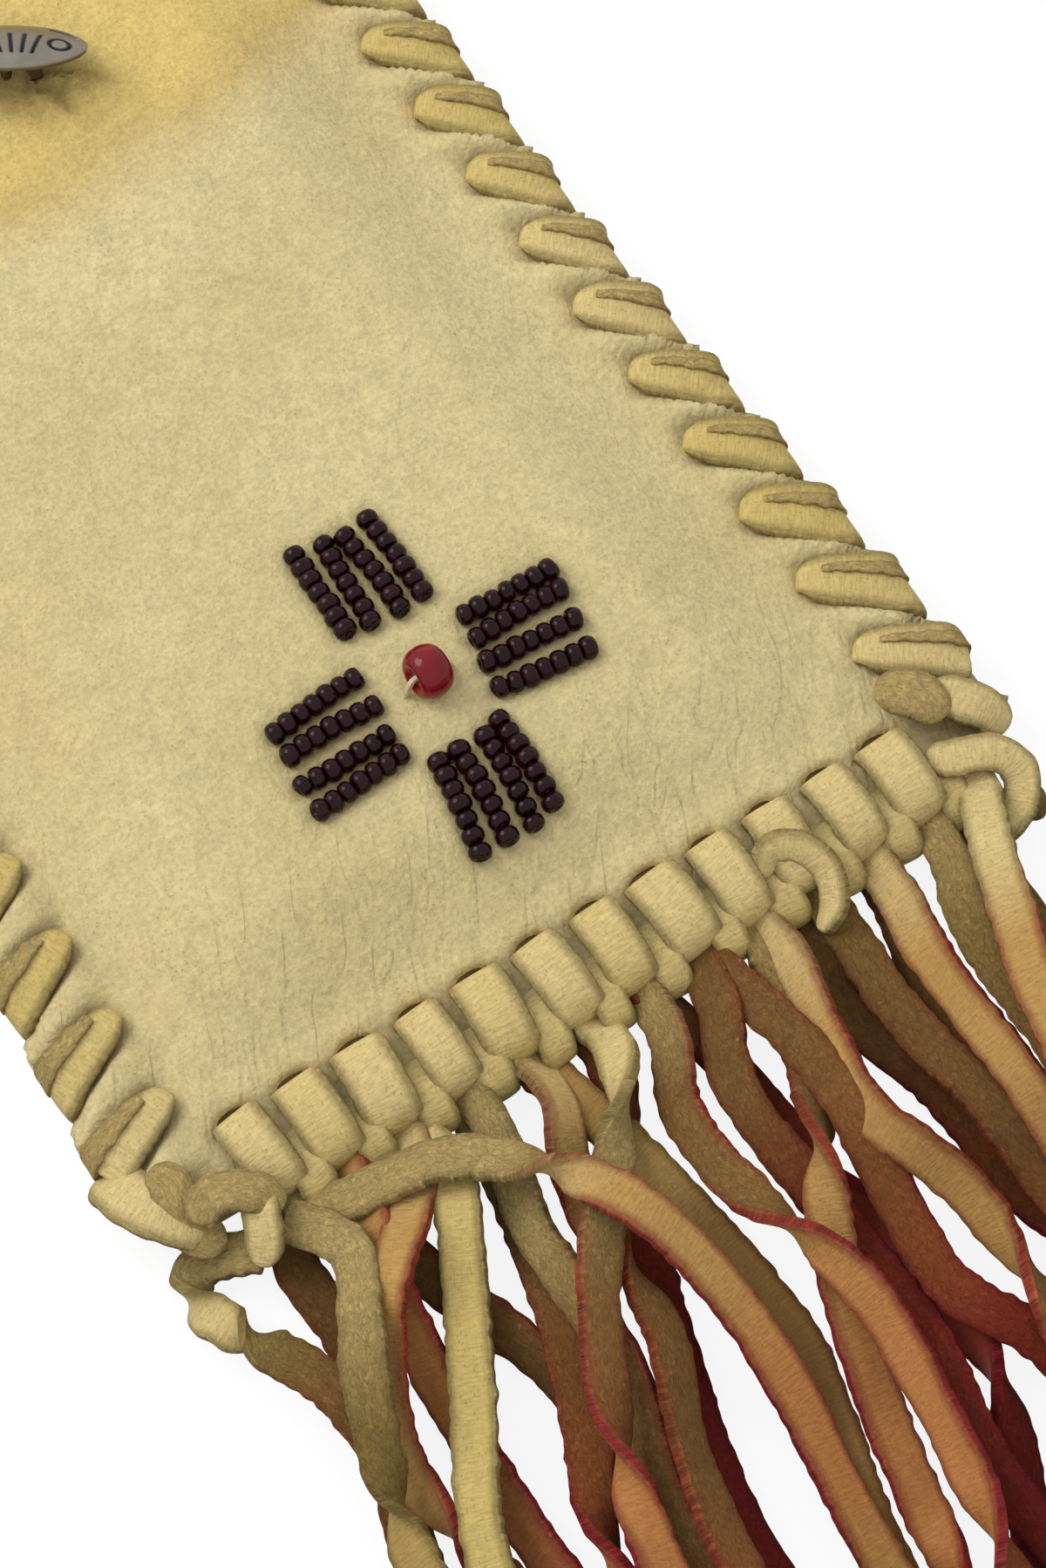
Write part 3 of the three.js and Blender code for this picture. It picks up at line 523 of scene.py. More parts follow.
# %% [markdown]
# ## Panels of hide
# Each panel is one sheet. It starts as a flat grid, fine enough for the puckers, which is drawn out
# to the outline and lifted by the relief. Holes are opened by deleting the faces inside an ellipse
# and drawing the rim onto it. A Boolean would do it too, but breaks up the even grid. A Solidify
# modifier gives the thickness.

# %% Tools for panels
SCALLOP, LOWER_CORNER, HOLE_BORDER = 1.7, 6.0, 2.2
LACE_HOLE_LONG, LACE_HOLE_WIDE, BAND_HOLE_LESS, BAND_HOLE_WIDE = 1.1, 0.8, 0.7, 1.6
Hole = namedtuple("Hole", "centre long wide turn")


def hide_grid(columns, rows, top, width_at, height_at):
    bm = bmesh.new()
    bmesh.ops.create_grid(bm, x_segments=columns, y_segments=rows, size=1)
    for v in bm.verts:
        across = v.co.x
        low = bottom_edge(across * BOTTOM_HALF) + LOWER_CORNER * soft_step(abs(across), 0.9, 1.0)
        y = low + (top - low) * (v.co.y + 1) / 2
        x = across * (width_at(y) + SCALLOP * stitch_puff(across * width_at(y), y))
        v.co = (x, y, height_at(x, y))
    return bm


def rim_share(co, hole):
    """Distance from the middle of a hole, where 1 is its rim."""
    c, s = math.cos(hole.turn), math.sin(hole.turn)
    dx, dy = co.x - hole.centre.x, co.y - hole.centre.y
    return math.hypot((dx * c + dy * s) / hole.long, (dy * c - dx * s) / hole.wide)


def punch(bm, holes):
    flat = kdtree.KDTree(len(bm.verts))
    bm.verts.ensure_lookup_table()
    for v in bm.verts:
        flat.insert((v.co.x, v.co.y, 0), v.index)
    flat.balance()
    doomed, borders = set(), []
    for hole in holes:
        near = [bm.verts[i] for _, i, _ in flat.find_range((*hole.centre, 0), hole.long + HOLE_BORDER)]
        doomed.update(f for v in near for f in v.link_faces if rim_share(f.calc_center_median(), hole) < 1)
        borders.append(near)
    bmesh.ops.delete(bm, geom=list(doomed), context="FACES")
    for hole, near in zip(holes, borders):
        near = [v for v in near if v.is_valid]
        for v in near:
            if v.is_boundary:
                v.co.xy = hole.centre + (v.co.xy - hole.centre) / max(rim_share(v.co, hole), 0.3)
        loose = [v for v in near if not v.is_boundary]
        bmesh.ops.smooth_vert(bm, verts=loose, factor=0.5, use_axis_x=True, use_axis_y=True)


def paint(bm, name, value_at):
    layer = bm.verts.layers.float.new(name)
    for v in bm.verts:
        v[layer] = value_at(v.co.x, v.co.y)


lacing_holes = []
for side, holes in side_holes.items():
    turn = math.pi / 2 + side * math.atan2(FRONT_DROP[side], SIDE_MARGIN)
    lacing_holes += [Hole(hole, LACE_HOLE_LONG, LACE_HOLE_WIDE, turn) for hole in holes]
for hole, half in zip(fringe_holes, BAND_HALF):
    lacing_holes.append(Hole(hole, half - BAND_HOLE_LESS, BAND_HOLE_WIDE, 0.0))
print(len(lacing_holes), "holes to punch in the front")

# %% Front panel
FLAP_LINE_MIDDLE, FLAP_LINE_HEIGHT, FLAP_LINE_BEND = 10, 27.0, 0.008
FRONT_COLUMNS, FRONT_ROWS = 140, 215


def front_sheltered(x, y):
    wander = 3 * noise.noise(Vector((x / 14, y / 14, 9.2)))
    line = FLAP_LINE_HEIGHT + FLAP_LINE_BEND * (x - FLAP_LINE_MIDDLE) ** 2 + wander
    return soft_step(y, line - 4, line + 12)


def front_grime_and_shade(x, y):
    away = (Vector((x, y)) - BUTTON_PLACE).length
    drawn, fold = pucker(x, y)
    # worn gathers wear and painted shade. Darker round the holes: wear, and painted shade in the holes.
    # Darker along the bead lanes: wear.
    worn = 0.9 * hole_pull(x, y) + 0.7 * lane_trough(x, y)
    # Painted shadow: a dark line beside each band, where it meets the hide.
    for hole, half in zip(fringe_holes, BAND_HALF):
        beside = max(abs(x - hole.x) - half, 0.0)
        worn += 0.7 * bulge(beside, 0.8) * (1 - soft_step(y - hole.y, 0.6, 1.6))
    # Painted shadow along the edges of the lace lobes.
    outward = abs(x) - cut_half_width(y) + SIDE_MARGIN
    worn += 0.7 * (1 - stitch_puff(x, y)) * soft_step(outward, -2.2, -0.6)
    # Painted shadow round the button, and painted shade in the low folds of its pucker.
    return min(worn + 0.8 * bulge(away, 6) + (0.9 - 0.7 * fold) * drawn, 1.0)


def front_slack(x, y):
    upward = y - bottom_edge(x)
    inward = half_width(y) - abs(x)
    low = 1 - soft_step(upward, 14, 42)
    beside = 0.35 * (1 - soft_step(inward, 10, 26))
    return max(low, beside, 0.15)


bm = hide_grid(FRONT_COLUMNS, FRONT_ROWS, MOUTH, half_width, front_top)
punch(bm, lacing_holes)
paint(bm, "sheltered", front_sheltered)
paint(bm, "grime_and_shade", front_grime_and_shade)
paint(bm, "slack", front_slack)
front_panel = finish_piece(bm, "front_panel_buckskin", buckskin, ["front_panel"], wall=HIDE)

# %% [markdown]
# The back panel and its flap are one longer sheet. It lies on the table, so it is only lifted along
# the seams, where the laces pass under it. The laces fill its holes, so those are not opened here. Only
# the flap's slit for the button is, as one long ellipse.

# %% Back panel with its flap
SLIT_HALF, SLIT_WIDE, FLAP_WAVE = 11.1, 1.2, 1.2
BACK_COLUMNS, BACK_ROWS = 84, 172


def back_top(x, y):
    aside = soft_step(half_width(y) - abs(x), MARGIN_FLAT, BACK_SETTLE)
    upward = soft_step(y - bottom_edge(x), MARGIN_FLAT, BACK_SETTLE)
    flap = soft_step(y, MOUTH, MOUTH + FLAP_SETTLE)
    lift = SEAM_LIFT * (1 - aside * upward) * (1 - flap)
    wave = soft_step(y, MOUTH, FLAP_END) * (0.5 + 0.5 * noise.noise(Vector((x / 22, y / 22, 5.0))))
    return lift + HIDE + FLAP_WAVE * wave - min(rim_curl(x, y), lift)


def back_sheltered(x, y):
    return 0.15 + 0.3 * soft_step(y, MOUTH - 10, MOUTH + 20)


bm = hide_grid(BACK_COLUMNS, BACK_ROWS, FLAP_END, back_half_width, back_top)
flap_slit = Hole(Vector((BUTTON_PLACE.x, 2 * MOUTH - BUTTON_PLACE.y)), SLIT_HALF, SLIT_WIDE, 0.0)
punch(bm, [flap_slit])
paint(bm, "sheltered", back_sheltered)
# Darker round the lace holes of the back: wear, and painted shade where the laces pass, as on the front.
paint(bm, "grime_and_shade", lambda x, y: min(0.8 * hole_pull(x, y), 1.0))
paint(bm, "slack", lambda x, y: 0.5)
back_panel = finish_piece(bm, "back_panel_buckskin", buckskin, ["back_panel"], wall=HIDE)

# %% [markdown]
# ## Sweeping a strip
# A lace or a fringe strip is a flat section with rounded rims that travels along a line, turns and
# twists. A curve with a bevel could do it, but then the two sides could not have their own colours.
# So one loop of vertices is extruded from station to station, and each vertex is told how far it is
# along the strip, which side it belongs to and what dye it took, darkened as painted shade where the
# strip lies low.

# %% Section, dyes and noise of the strips
SECTION = [(-1.0, 0.4), (-0.97, 0.97), (-0.55, 1.0), (0.0, 1.0), (0.55, 1.0), (0.97, 0.97), (1.0, 0.4),
           (1.0, -0.4), (0.97, -0.97), (0.55, -1.0), (0.0, -1.0), (-0.55, -1.0), (-0.97, -0.97), (-1.0, -0.4)]
Station = namedtuple("Station", "at across up half dome dye thick")
# Grain side, flesh side and cut edge of buff, yellow, khaki, nut brown, tan, orange, red and deep red.
# The buff edge is darker than its sides, partly from the loose fibre of the cut and partly as
# painted shade on the side walls of bands and laces.
DYES = {
    "b": ("#D7C184", "#ECCD84", "#B29A62"),
    "y": ("#CDB56E", "#D4BC76", "#B69E64"),
    "k": ("#A98C50", "#A88B4C", "#967C46"),
    "n": ("#A67E46", "#A67A44", "#984C2E"),
    "t": ("#BC9254", "#B88C50", "#B04A3A"),
    "o": ("#B87C46", "#B66E3C", "#A8383A"),
    "r": ("#B0523A", "#AC4630", "#98262C"),
    "d": ("#882A24", "#902E28", "#6C181C"),
}
DYE_COLOURS = {key: [Vector(linear(code)) for code in codes] for key, codes in DYES.items()}
# Each kind of strip starts from its own number, so that no two of them fray alike.
LACE_SEED, BAND_SEED, TAIL_SEED, ROUND_SEED = 3, 20, 40, 60
EXTRA_SEED, LACE_TAIL_SEED, KNOT_SEED, FOLD_SEED = 70, 80, 90, 100
print(len(DYES), "dyes,", len(SECTION), "vertices round a strip")


# %% Lines and dyes along a strip
def smooth_line(points, step):
    points = [Vector(p) for p in points]
    fine = []
    for i in range(len(points) - 1):
        a, b = points[max(i - 1, 0)], points[i]
        c, d = points[i + 1], points[min(i + 2, len(points) - 1)]
        for k in range(24):
            t = k / 24
            fine.append(0.5 * (2 * b + (c - a) * t + (2 * a - 5 * b + 4 * c - d) * t ** 2
                               + (3 * b - a - 3 * c + d) * t ** 3))
    fine.append(points[-1])
    ways = [0.0]
    for p, q in zip(fine, fine[1:]):
        ways.append(ways[-1] + (Vector(q[:3]) - Vector(p[:3])).length)
    count = max(round(ways[-1] / step), 2)
    even, k = [], 0
    for i in range(count + 1):
        goal = ways[-1] * i / count
        while k < len(fine) - 2 and ways[k + 1] < goal:
            k += 1
        share = (goal - ways[k]) / max(ways[k + 1] - ways[k], 1e-9)
        even.append(fine[k].lerp(fine[k + 1], min(share, 1.0)))
    return even


def blend(values, share):
    place = share * (len(values) - 1)
    i = max(min(int(place), len(values) - 2), 0)
    return values[i], values[min(i + 1, len(values) - 1)], place - i


def dye_at(recipe, share):
    first, second, mix = blend(recipe, share)
    return [a.lerp(b, mix) for a, b in zip(DYE_COLOURS[first], DYE_COLOURS[second])]


print("half way from buff to red:", [round(c, 2) for c in dye_at("br", 0.5)[0]])


# %% Sweeping a strip
def new_strip():
    bm = bmesh.new()
    bm.verts.layers.float_vector.new("lay")
    bm.verts.layers.float_color.new("dye_and_shade")
    bm.verts.layers.float.new("flesh")
    return bm


def sweep(bm, stations, seed, rag=0.1):
    lay_layer = bm.verts.layers.float_vector["lay"]
    dye_and_shade_layer = bm.verts.layers.float_color["dye_and_shade"]
    flesh_layer = bm.verts.layers.float["flesh"]
    way = 0.0
    for i, s in enumerate(stations):
        if i == 0:
            ring = [bm.verts.new() for _ in SECTION]
            edges = [bm.edges.new((ring[k - 1], ring[k])) for k in range(len(ring))]
            bm.faces.new(ring)
        else:
            way += (s.at - stations[i - 1].at).length
            made = bmesh.ops.extrude_edge_only(bm, edges=edges)["geom"]
            fresh = {v for v in made if isinstance(v, bmesh.types.BMVert)}
            ring = [next(e.other_vert(v) for e in v.link_edges if e.other_vert(v) in fresh) for v in ring]
            edges = [e for e in made if isinstance(e, bmesh.types.BMEdge) and set(e.verts) <= fresh]
        grain_dye, flesh_dye, edge_dye_and_shade = s.dye
        for v, (across, up) in zip(ring, SECTION):
            on_edge = abs(across) == 1.0
            torn = noise.noise(Vector((2 * across, way / 1.1, seed)))
            torn += 0.7 * noise.noise(Vector((2 * across, way / 0.5, seed)))
            ragged = rag * torn if abs(across) > 0.9 else 0.0
            lift = up * s.thick / 2 + s.dome * (1 - across ** 2)
            v.co = s.at + s.across * across * (s.half + ragged) + s.up * lift
            side_dye = grain_dye if up > 0 else flesh_dye
            wicked = 1.0 if on_edge else (0.5 if abs(across) > 0.9 else 0.0)
            # Painted shade: a strip darkens where it lies low, near the hide or under other strips.
            shade_by_height = 0.8 + 0.2 * soft_step(v.co.z, 0.5, LACE_OVER - 0.4)
            v[dye_and_shade_layer] = side_dye.lerp(edge_dye_and_shade, wicked) * shade_by_height
            v[flesh_layer] = 1.0 if up < 0 else wicked
            v[lay_layer] = (across * s.half, way, 10 * seed)
    bm.faces.new(ring)


print("a strip is", STRIP, "mm thick unless told")


# %% Stations of a strip
def guided_stations(stops, recipe, step=0.8, thick=STRIP):
    """Stops hold place, half width, dome and the direction across the strip."""
    line = smooth_line(stops, step)
    last = len(line) - 1
    stations = []
    for i, stop in enumerate(line):
        ahead = Vector(line[min(i + 1, last)][:3]) - Vector(line[max(i - 1, 0)][:3])
        across = Vector(stop[5:8])
        across = (across - across.project(ahead)).normalized()
        up = ahead.cross(across).normalized()
        stations.append(Station(Vector(stop[:3]), across, up, stop[3], stop[4],
                                dye_at(recipe, i / last), thick))
    return stations


def level_stations(line, turns, halves, dome, recipe, thick):
    """A turn of 0 lays the grain side up and half a turn the flesh side."""
    last = len(line) - 1
    stations = []
    for i, at in enumerate(line):
        ahead = (line[min(i + 1, last)] - line[max(i - 1, 0)]).normalized()
        side = Vector((-ahead.y, ahead.x, 0)).normalized()
        up = ahead.cross(side)
        c, s = math.cos(turns[i]), math.sin(turns[i])
        stations.append(Station(at, side * c + up * s, up * c - side * s, halves[i], dome,
                                dye_at(recipe, i / last), thick))
    return stations


def finish_strip(bm, name, nodes):
    bmesh.ops.recalc_face_normals(bm, faces=bm.faces)
    return finish_piece(bm, name, strip_hide, nodes, smoothing=1)


print("a station holds", ", ".join(Station._fields))

# %% [markdown]
# ## Side laces
# A lace comes up through a hole, lies slantwise over the seam, goes round the edge and back under to
# the next hole. It is gathered where it passes the hide and spreads over the seam like a tongue, with
# one long edge folded over. Single lobes would be easier to place but would end in the hole. One line
# with its own width, crown and direction at each stop gives the whole lace in one sweep.

# %% Side laces
# Share of the way from hole to rim, height, half width and crown.
LACE_FAN = [(-0.12, -0.3, 1.0, 0.1), (-0.06, 0.2, 1.7, 0.2), (0.08, 0.5, 2.3, 0.3), (0.3, 0.65, 2.6, 0.4),
            (0.55, 0.6, 2.7, 0.4), (0.8, 0.1, 2.85, 0.35)]
LACE_RIM = 2.9
# Share of the way, offset to the side, height and half width of the folded edge.
LACE_FOLD = [(0.1, 1.5, 1.4, 0.7), (0.3, 1.7, 1.95, 0.9), (0.6, 1.9, 1.85, 1.2), (0.85, 2.2, 1.3, 1.4)]
FOLD_SLIM, FOLD_NEAR = {-1: 1.0, 1: 0.5}, {-1: 1.0, 1: 0.55}


def lace_stitch(side, hole, below):
    """Stops of one turn of the lace, and those of the folded edge that lies on its upper half."""
    drop = FRONT_DROP[side]
    rim = Vector((side * (half_width(hole.y - drop) + GAP), hole.y - drop))
    lean = math.atan2(drop, SIDE_MARGIN)
    over = Vector((math.sin(lean), side * math.cos(lean), 0))
    back = math.atan2(LACE_PITCH - drop, SIDE_MARGIN)
    under = (-math.sin(back), side * math.cos(back), 0)
    upright = (0, side, 0)
    wide = rng.uniform(0.93, 1.05) * LACE_WIDTH[side]
    spread = FAN_SPREAD[side]
    rim_half = (LACE_RIM + 0.4 * spread) * wide
    turn = [(*hole, LACE_UNDER + 0.6, 1.2, 0.0, *over), (*hole, LACE_OVER - 1.5, 1.4, 0.1, *over)]
    for share, z, half, dome in LACE_FAN:
        turn.append((*hole.lerp(rim, share), LACE_OVER + z, half * wide + spread * share * 0.9, dome, *over))
    turn += [
        (rim.x, rim.y - 0.4, LACE_OVER - 1.5, rim_half, 0.3, *upright),
        (rim.x, rim.y - 0.6, LACE_UNDER + 0.9, rim_half, 0.1, *upright),
        (rim.x - side * 1.6, rim.y - 0.8, LACE_UNDER, 2.8, 0.0, *under),
        (below.x + side * 1.2, below.y + 0.4, LACE_UNDER, 2.2, 0.0, *under),
    ]
    fold = []
    slim, near = FOLD_SLIM[side], FOLD_NEAR[side]
    for share, off, z, half in LACE_FOLD:
        spot = hole.lerp(rim, share) + over.xy * side * off * near
        fold.append((*spot, LACE_OVER + z, half * wide * slim, 0.1, *-over))
    fold.append((rim.x + side * 1.0, rim.y + 2.0 * near, LACE_OVER - 1.0, 1.5 * slim, 0.1, 0, -side, 0))
    fold.append((rim.x + side * 0.9, rim.y + 1.9 * near, LACE_UNDER + 1.4, 1.3 * slim, 0.1, 0, -side, 0))
    return turn, fold


lace_pieces = {}
for side, name in ((-1, "left"), (1, "right")):
    holes = side_holes[side][::-1]
    nexts = [*holes[1:], holes[-1] - Vector((0, LACE_PITCH))]
    stitches = [lace_stitch(side, hole, below) for hole, below in zip(holes, nexts)]
    bm = new_strip()
    turns = [stop for turn, _ in stitches for stop in turn]
    sweep(bm, guided_stations(turns[:-3], "ybyybyyb", thick=1.6), LACE_SEED + side, rag=0.25)
    for k, (_, fold) in enumerate(stitches):
        sweep(bm, guided_stations(fold, "b", 0.6, thick=0.9), FOLD_SEED + k, rag=0.35)
    lace_pieces[name] = bm
    print("lace", name, "has", len(bm.verts), "vertices")

# %% [markdown]
# ## Knots at the lower corners
# Where a lace ends it is tied off with a few short turns. Tying the real knot would take a long sweep
# of which most is hidden, so each turn that shows is a short strip along a line of its own. A row gives
# its half width, the side that shows (g for grain, f for flesh), its dye, its tilt and its places.

# %% Knots at the lower corners
KNOT_STEP, KNOT_TAPER, KNOT_CROWN = 0.8, 2.5, 0.4
KNOT_TURNS = {
    "left": [
        (2.7, "f", "b", 0,
         [(-53.7, -76.4, 6.8), (-52.5, -79.0, 7.4), (-53.2, -82.0, 6.8), (-52.4, -84.9, 5.2),
          (-50.0, -86.2, 4.2)]),
        (3.3, "g", "b", 0,
         [(-57.2, -73.0, 2.6), (-57.0, -75.8, 5.8), (-55.8, -79.2, 7.0), (-53.6, -82.2, 6.6),
          (-50.6, -84.4, 4.6)]),
        (2.2, "g", "b", 15,
         [(-44.6, -84.6, 7.0), (-45.6, -86.6, 8.2), (-46.9, -89.4, 7.0), (-48.4, -91.4, 4.6)]),
        (2.4, "f", "b", 0,
         [(-52.3, -84.0, 7.6), (-49.8, -83.0, 9.2), (-47.5, -83.7, 9.6), (-45.1, -85.3, 9.0),
          (-43.6, -87.7, 7.2)]),
    ],
    "right": [
        (2.7, "g", "b", 0,
         [(50.6, -77.6, 6.9), (52.7, -80.7, 7.4), (54.7, -83.1, 6.6), (56.0, -85.8, 4.5)]),
        (2.9, "f", "b", 0,
         [(45.6, -74.6, 7.2), (47.3, -76.4, 8.6), (49.1, -78.9, 8.8), (49.6, -81.7, 7.4)]),
        (1.9, "f", "k", 0,
         [(52.4, -91.0, 3.6), (53.6, -94.0, 3.2), (53.0, -96.4, 2.2)]),
        (2.2, "g", "b", 15,
         [(45.6, -84.2, 6.4), (47.7, -86.1, 7.4), (50.4, -87.4, 8.0), (52.8, -89.2, 7.6),
          (53.4, -92.0, 6.4), (51.2, -94.6, 5.0), (47.4, -95.5, 4.2), (44.3, -94.8, 3.2)]),
    ],
}


def tie(bm, points, half, face, recipe, seed, tilt):
    line = smooth_line(points, KNOT_STEP)
    last = len(line) - 1
    turn = (0.0 if face == "g" else math.pi) + math.radians(tilt)
    ends = [min(min(i, last - i) * KNOT_STEP / KNOT_TAPER, 1.0) for i in range(last + 1)]
    halves = [half * (0.35 + 0.65 * math.sqrt(end)) for end in ends]
    crown = KNOT_CROWN if face == "g" else -KNOT_CROWN
    sweep(bm, level_stations(line, [turn] * (last + 1), halves, crown, recipe, STRIP), seed, rag=0.4)


for name, turns in KNOT_TURNS.items():
    for k, (half, face, recipe, tilt, points) in enumerate(turns):
        tie(lace_pieces[name], points, half, face, recipe, KNOT_SEED + k, tilt)
print(sum(len(turns) for turns in KNOT_TURNS.values()), "turns of lace in two knots")

# %% [markdown]
# ## Bands of the fringe
# Each fringe strip is pulled through its hole as a doubled loop. What shows on the front is a short
# puffed band from the hole to the edge, its right side a little raised, and beside it the second round
# of the loop. One strip was wrapped once more by hand, and that turn is made like those of the knots.
# Boxes with rounded corners would pass for bands, but a sweep gives them the grain of the strips.


# %% Bands of the fringe
def band_stops(i):
    hole, half = fringe_holes[i], BAND_HALF[i]
    lean = rng.uniform(-0.7, 0.5)
    raised = rng.uniform(0.2, 0.36)
    edge = bottom_edge(hole.x) - GAP - STRIP / 2
    run = edge - hole.y
    level = (math.cos(0.12 * lean), math.sin(0.12 * lean), 0)
    across = (*level[:2], raised)
    return [
        (hole.x, hole.y + 0.2, LACE_UNDER + 0.4, half - 0.3, 0.0, *level),
        (hole.x, hole.y, LACE_OVER - 1.0, half - 0.2, 0.1, *level),
        (hole.x, hole.y - 0.6, LACE_OVER + 0.5, half, 0.15, *across),
        (hole.x + 0.3 * lean, hole.y + 0.35 * run, LACE_OVER + 1.2, half, 0.2, *across),
        (hole.x + 0.7 * lean, hole.y + 0.7 * run, LACE_OVER + 1.0, half, 0.2, *across),
        (hole.x + lean, edge + 0.2, LACE_OVER - 0.5, half, 0.2, *across),
        (hole.x + lean, edge, LACE_UNDER + 1.2, half, 0.2, *level),
        (hole.x + 0.7 * lean, edge + 1.6, LACE_UNDER, half, 0.1, *level),
        (hole.x, hole.y - 0.6, LACE_UNDER, half - 0.3, 0.0, *level),
    ]


def second_round(i):
    x = fringe_holes[i].x + 3.6
    edge = bottom_edge(x) - GAP - STRIP / 2
    half = rng.uniform(2.0, 2.5)
    across = (1, rng.uniform(-0.25, 0.1), 0)
    return [
        (x + 0.6, edge + 5.4, LACE_OVER - 2.4, half - 0.5, 0.1, *across),
        (x + 0.5, edge + 3.4, LACE_OVER - 1.0, half, 0.2, *across),
        (x + 0.2, edge + 0.6, LACE_OVER - 0.6, half, 0.2, *across),
        (x, edge - 1.9, LACE_OVER - 1.5, half, 0.2, *across),
        (x - 0.3, edge - 3.0, LACE_UNDER + 2.0, half, 0.2, *across),
        (x - 0.6, edge - 1.6, LACE_UNDER + 0.2, half - 0.4, 0.1, *across),
        (x - 0.8, edge + 1.0, LACE_UNDER, half - 0.6, 0.0, *across),
    ]


EXTRA_TURN_STRIP = 10
EXTRA_TURN = [(21.6, -85.4, 6.4), (24.2, -83.8, 8.0), (27.0, -85.4, 8.4), (28.4, -88.8, 7.4),
              (27.2, -92.4, 5.6), (24.4, -94.2, 4.0)]
fringe_strips = []
for i in range(FRINGE_COUNT):
    bm = new_strip()
    band = guided_stations(band_stops(i), rng.choice(["b", "b", "by"]), thick=1.7)
    sweep(bm, band, BAND_SEED + i, rag=0.25)
    # The second round darkens from buff to yellow towards its end: painted shade, as the round lies beside
    # and under the band.
    sweep(bm, guided_stations(second_round(i), "by", thick=1.5), ROUND_SEED + i, rag=0.25)
    fringe_strips.append(bm)
tie(fringe_strips[EXTRA_TURN_STRIP - 1], EXTRA_TURN, 1.9, "g", "b", EXTRA_SEED, 42)
print(len(fringe_strips), "bands")

# %% [markdown]
# ## Tails of the fringe
# The tails lie where the CAD tails lie, and in the same order, each over what is already there. A
# map of heights, one value for each square millimetre, remembers how high the heap has grown. Each
# tail also has its own twists: g turns the grain up, f the flesh side. A strip on its edge needs more
# room, so it is lifted by its width. A rope simulation would settle them too, but not into the order
# that is seen. After the strip's number come its twists, its dyes from root to end, its tilt in degrees
# and the bends of its route.

# %% Routes of the tails
TAILS = [
    (1, "ffffgg", "nnnnoor", 0,
     [(-3, -8), (-3, -18), (-7, -33), (-11, -48), (-12, -75), (-8, -106)]),
    (2, "fffffg", "nnnoor", 28,
     [(-1, -8), (1, -18), (6, -34), (6, -50), (2, -66), (0, -85), (4, -108)]),
    (2, "ggggfg", "toorrd", 35,
     [(-1, -7), (-4, -17), (-6, -36), (-6, -55), (-3, -80), (-6, -106)]),
    (10, "fffgff", "nnoorrd", 0,
     [(-4, -9), (-5, -15), (-2, -27), (-1, -44), (3, -70), (1, -110)]),
    (7, "ffgfff", "nrrddd", -28,
     [(2, -8), (4, -20), (6, -42), (7, -58), (-1, -78), (-3, -95), (0, -111)]),
    (6, "ffffgf", "nrdddd", 0,
     [(0, -7), (-5, -17), (-13, -39), (-18, -60), (-18, -85), (-21, -106)]),
    (5, "gggggg", "nknnnor", 0,
     [(2, -8), (5, -24), (7, -44), (2, -64), (-1, -85), (2, -108)]),
    (8, "ffffff", "nnrrddd", 21,
     [(-2, -8), (-6, -17), (-6, -33), (-5, -50), (-8, -68), (-6, -90), (-9, -111)]),
    (4, "fffgff", "bnorrd", 0,
     [(-1, -8), (-4, -22), (-10, -39), (-16, -52), (-18, -70), (-15, -95), (-16, -110)]),
    (11, "ffgggf", "nnoorrd", 14,
     [(-1, -8), (-5, -24), (-6, -44), (-8, -70), (-4, -110)]),
    (9, "ffggfg", "bntoord", -21,
     [(-2, -9), (-6, -19), (-17, -40), (-22, -58), (-25, -75), (-24, -95), (-27, -106)]),
    (12, "fffggg", "kkkntoo", 0,
     [(2, -7), (3, -17), (0, -30), (-2, -50), (1, -75), (-2, -110)]),
    (3, "gggffg", "btttoord", 26,
     [(-2, -7), (-7, -12), (-15, -20), (-21, -32), (-20, -46), (-17, -70), (-20, -96)]),
    (3, "gggggf", "byyytoo", 17,
     [(1, -8), (-3, -17), (-11, -31), (-19, -45), (-24, -62), (-24, -85), (-21, -102)]),
    (4, "ffffggg", "bbttoor", 39,
     [(0, -8), (-3, -20), (-4, -38), (-9, -57), (-10, -80), (-6, -108)]),
    (5, "ggffffg", "btnnoor", -39,
     [(0, -8), (-4, -18), (-6, -36), (-12, -52), (-15, -75), (-11, -106)]),
    (6, "gffggg", "bbtooor", -28,
     [(1, -6), (-3, -13), (-17, -29), (-25, -45), (-30, -65), (-32, -85), (-28, -102)]),
    (7, "ffggff", "bttooorr", 39,
     [(-1, -8), (-5, -17), (-5, -30), (-1, -48), (-4, -70), (-8, -90), (-7, -110)]),
    (8, "fffffg", "nnorrrr", 21,
     [(1, -8), (2, -20), (0, -40), (0, -50), (5, -60), (9, -80), (8, -110)]),
    (9, "gggffg", "btnttoo", 39,
     [(0, -8), (-3, -18), (-5, -30), (-1, -43), (-1, -60), (-3, -85), (1, -110)]),
    (10, "fffffg", "knnorrr", 0,
     [(0, -8), (-1, -20), (0, -46), (-2, -70), (2, -111)]),
    (11, "gggggf", "bttooorr", 35,
     [(-1, -8), (-3, -20), (-4, -40), (-3, -65), (-6, -90), (-5, -112)]),
    (12, "ffffgg", "bknorrr", 25,
     [(-1, -7), (-5, -17), (-7, -33), (-10, -55), (-9, -80), (-12, -111)]),
    (1, "fffgggggff", "bbbttoonnr", -14,
     [(3, -5), (9, -7), (16, -9), (22, -14), (28, -23), (32, -35), (33, -50), (31, -66), (30, -85),
      (33, -100)]),
]
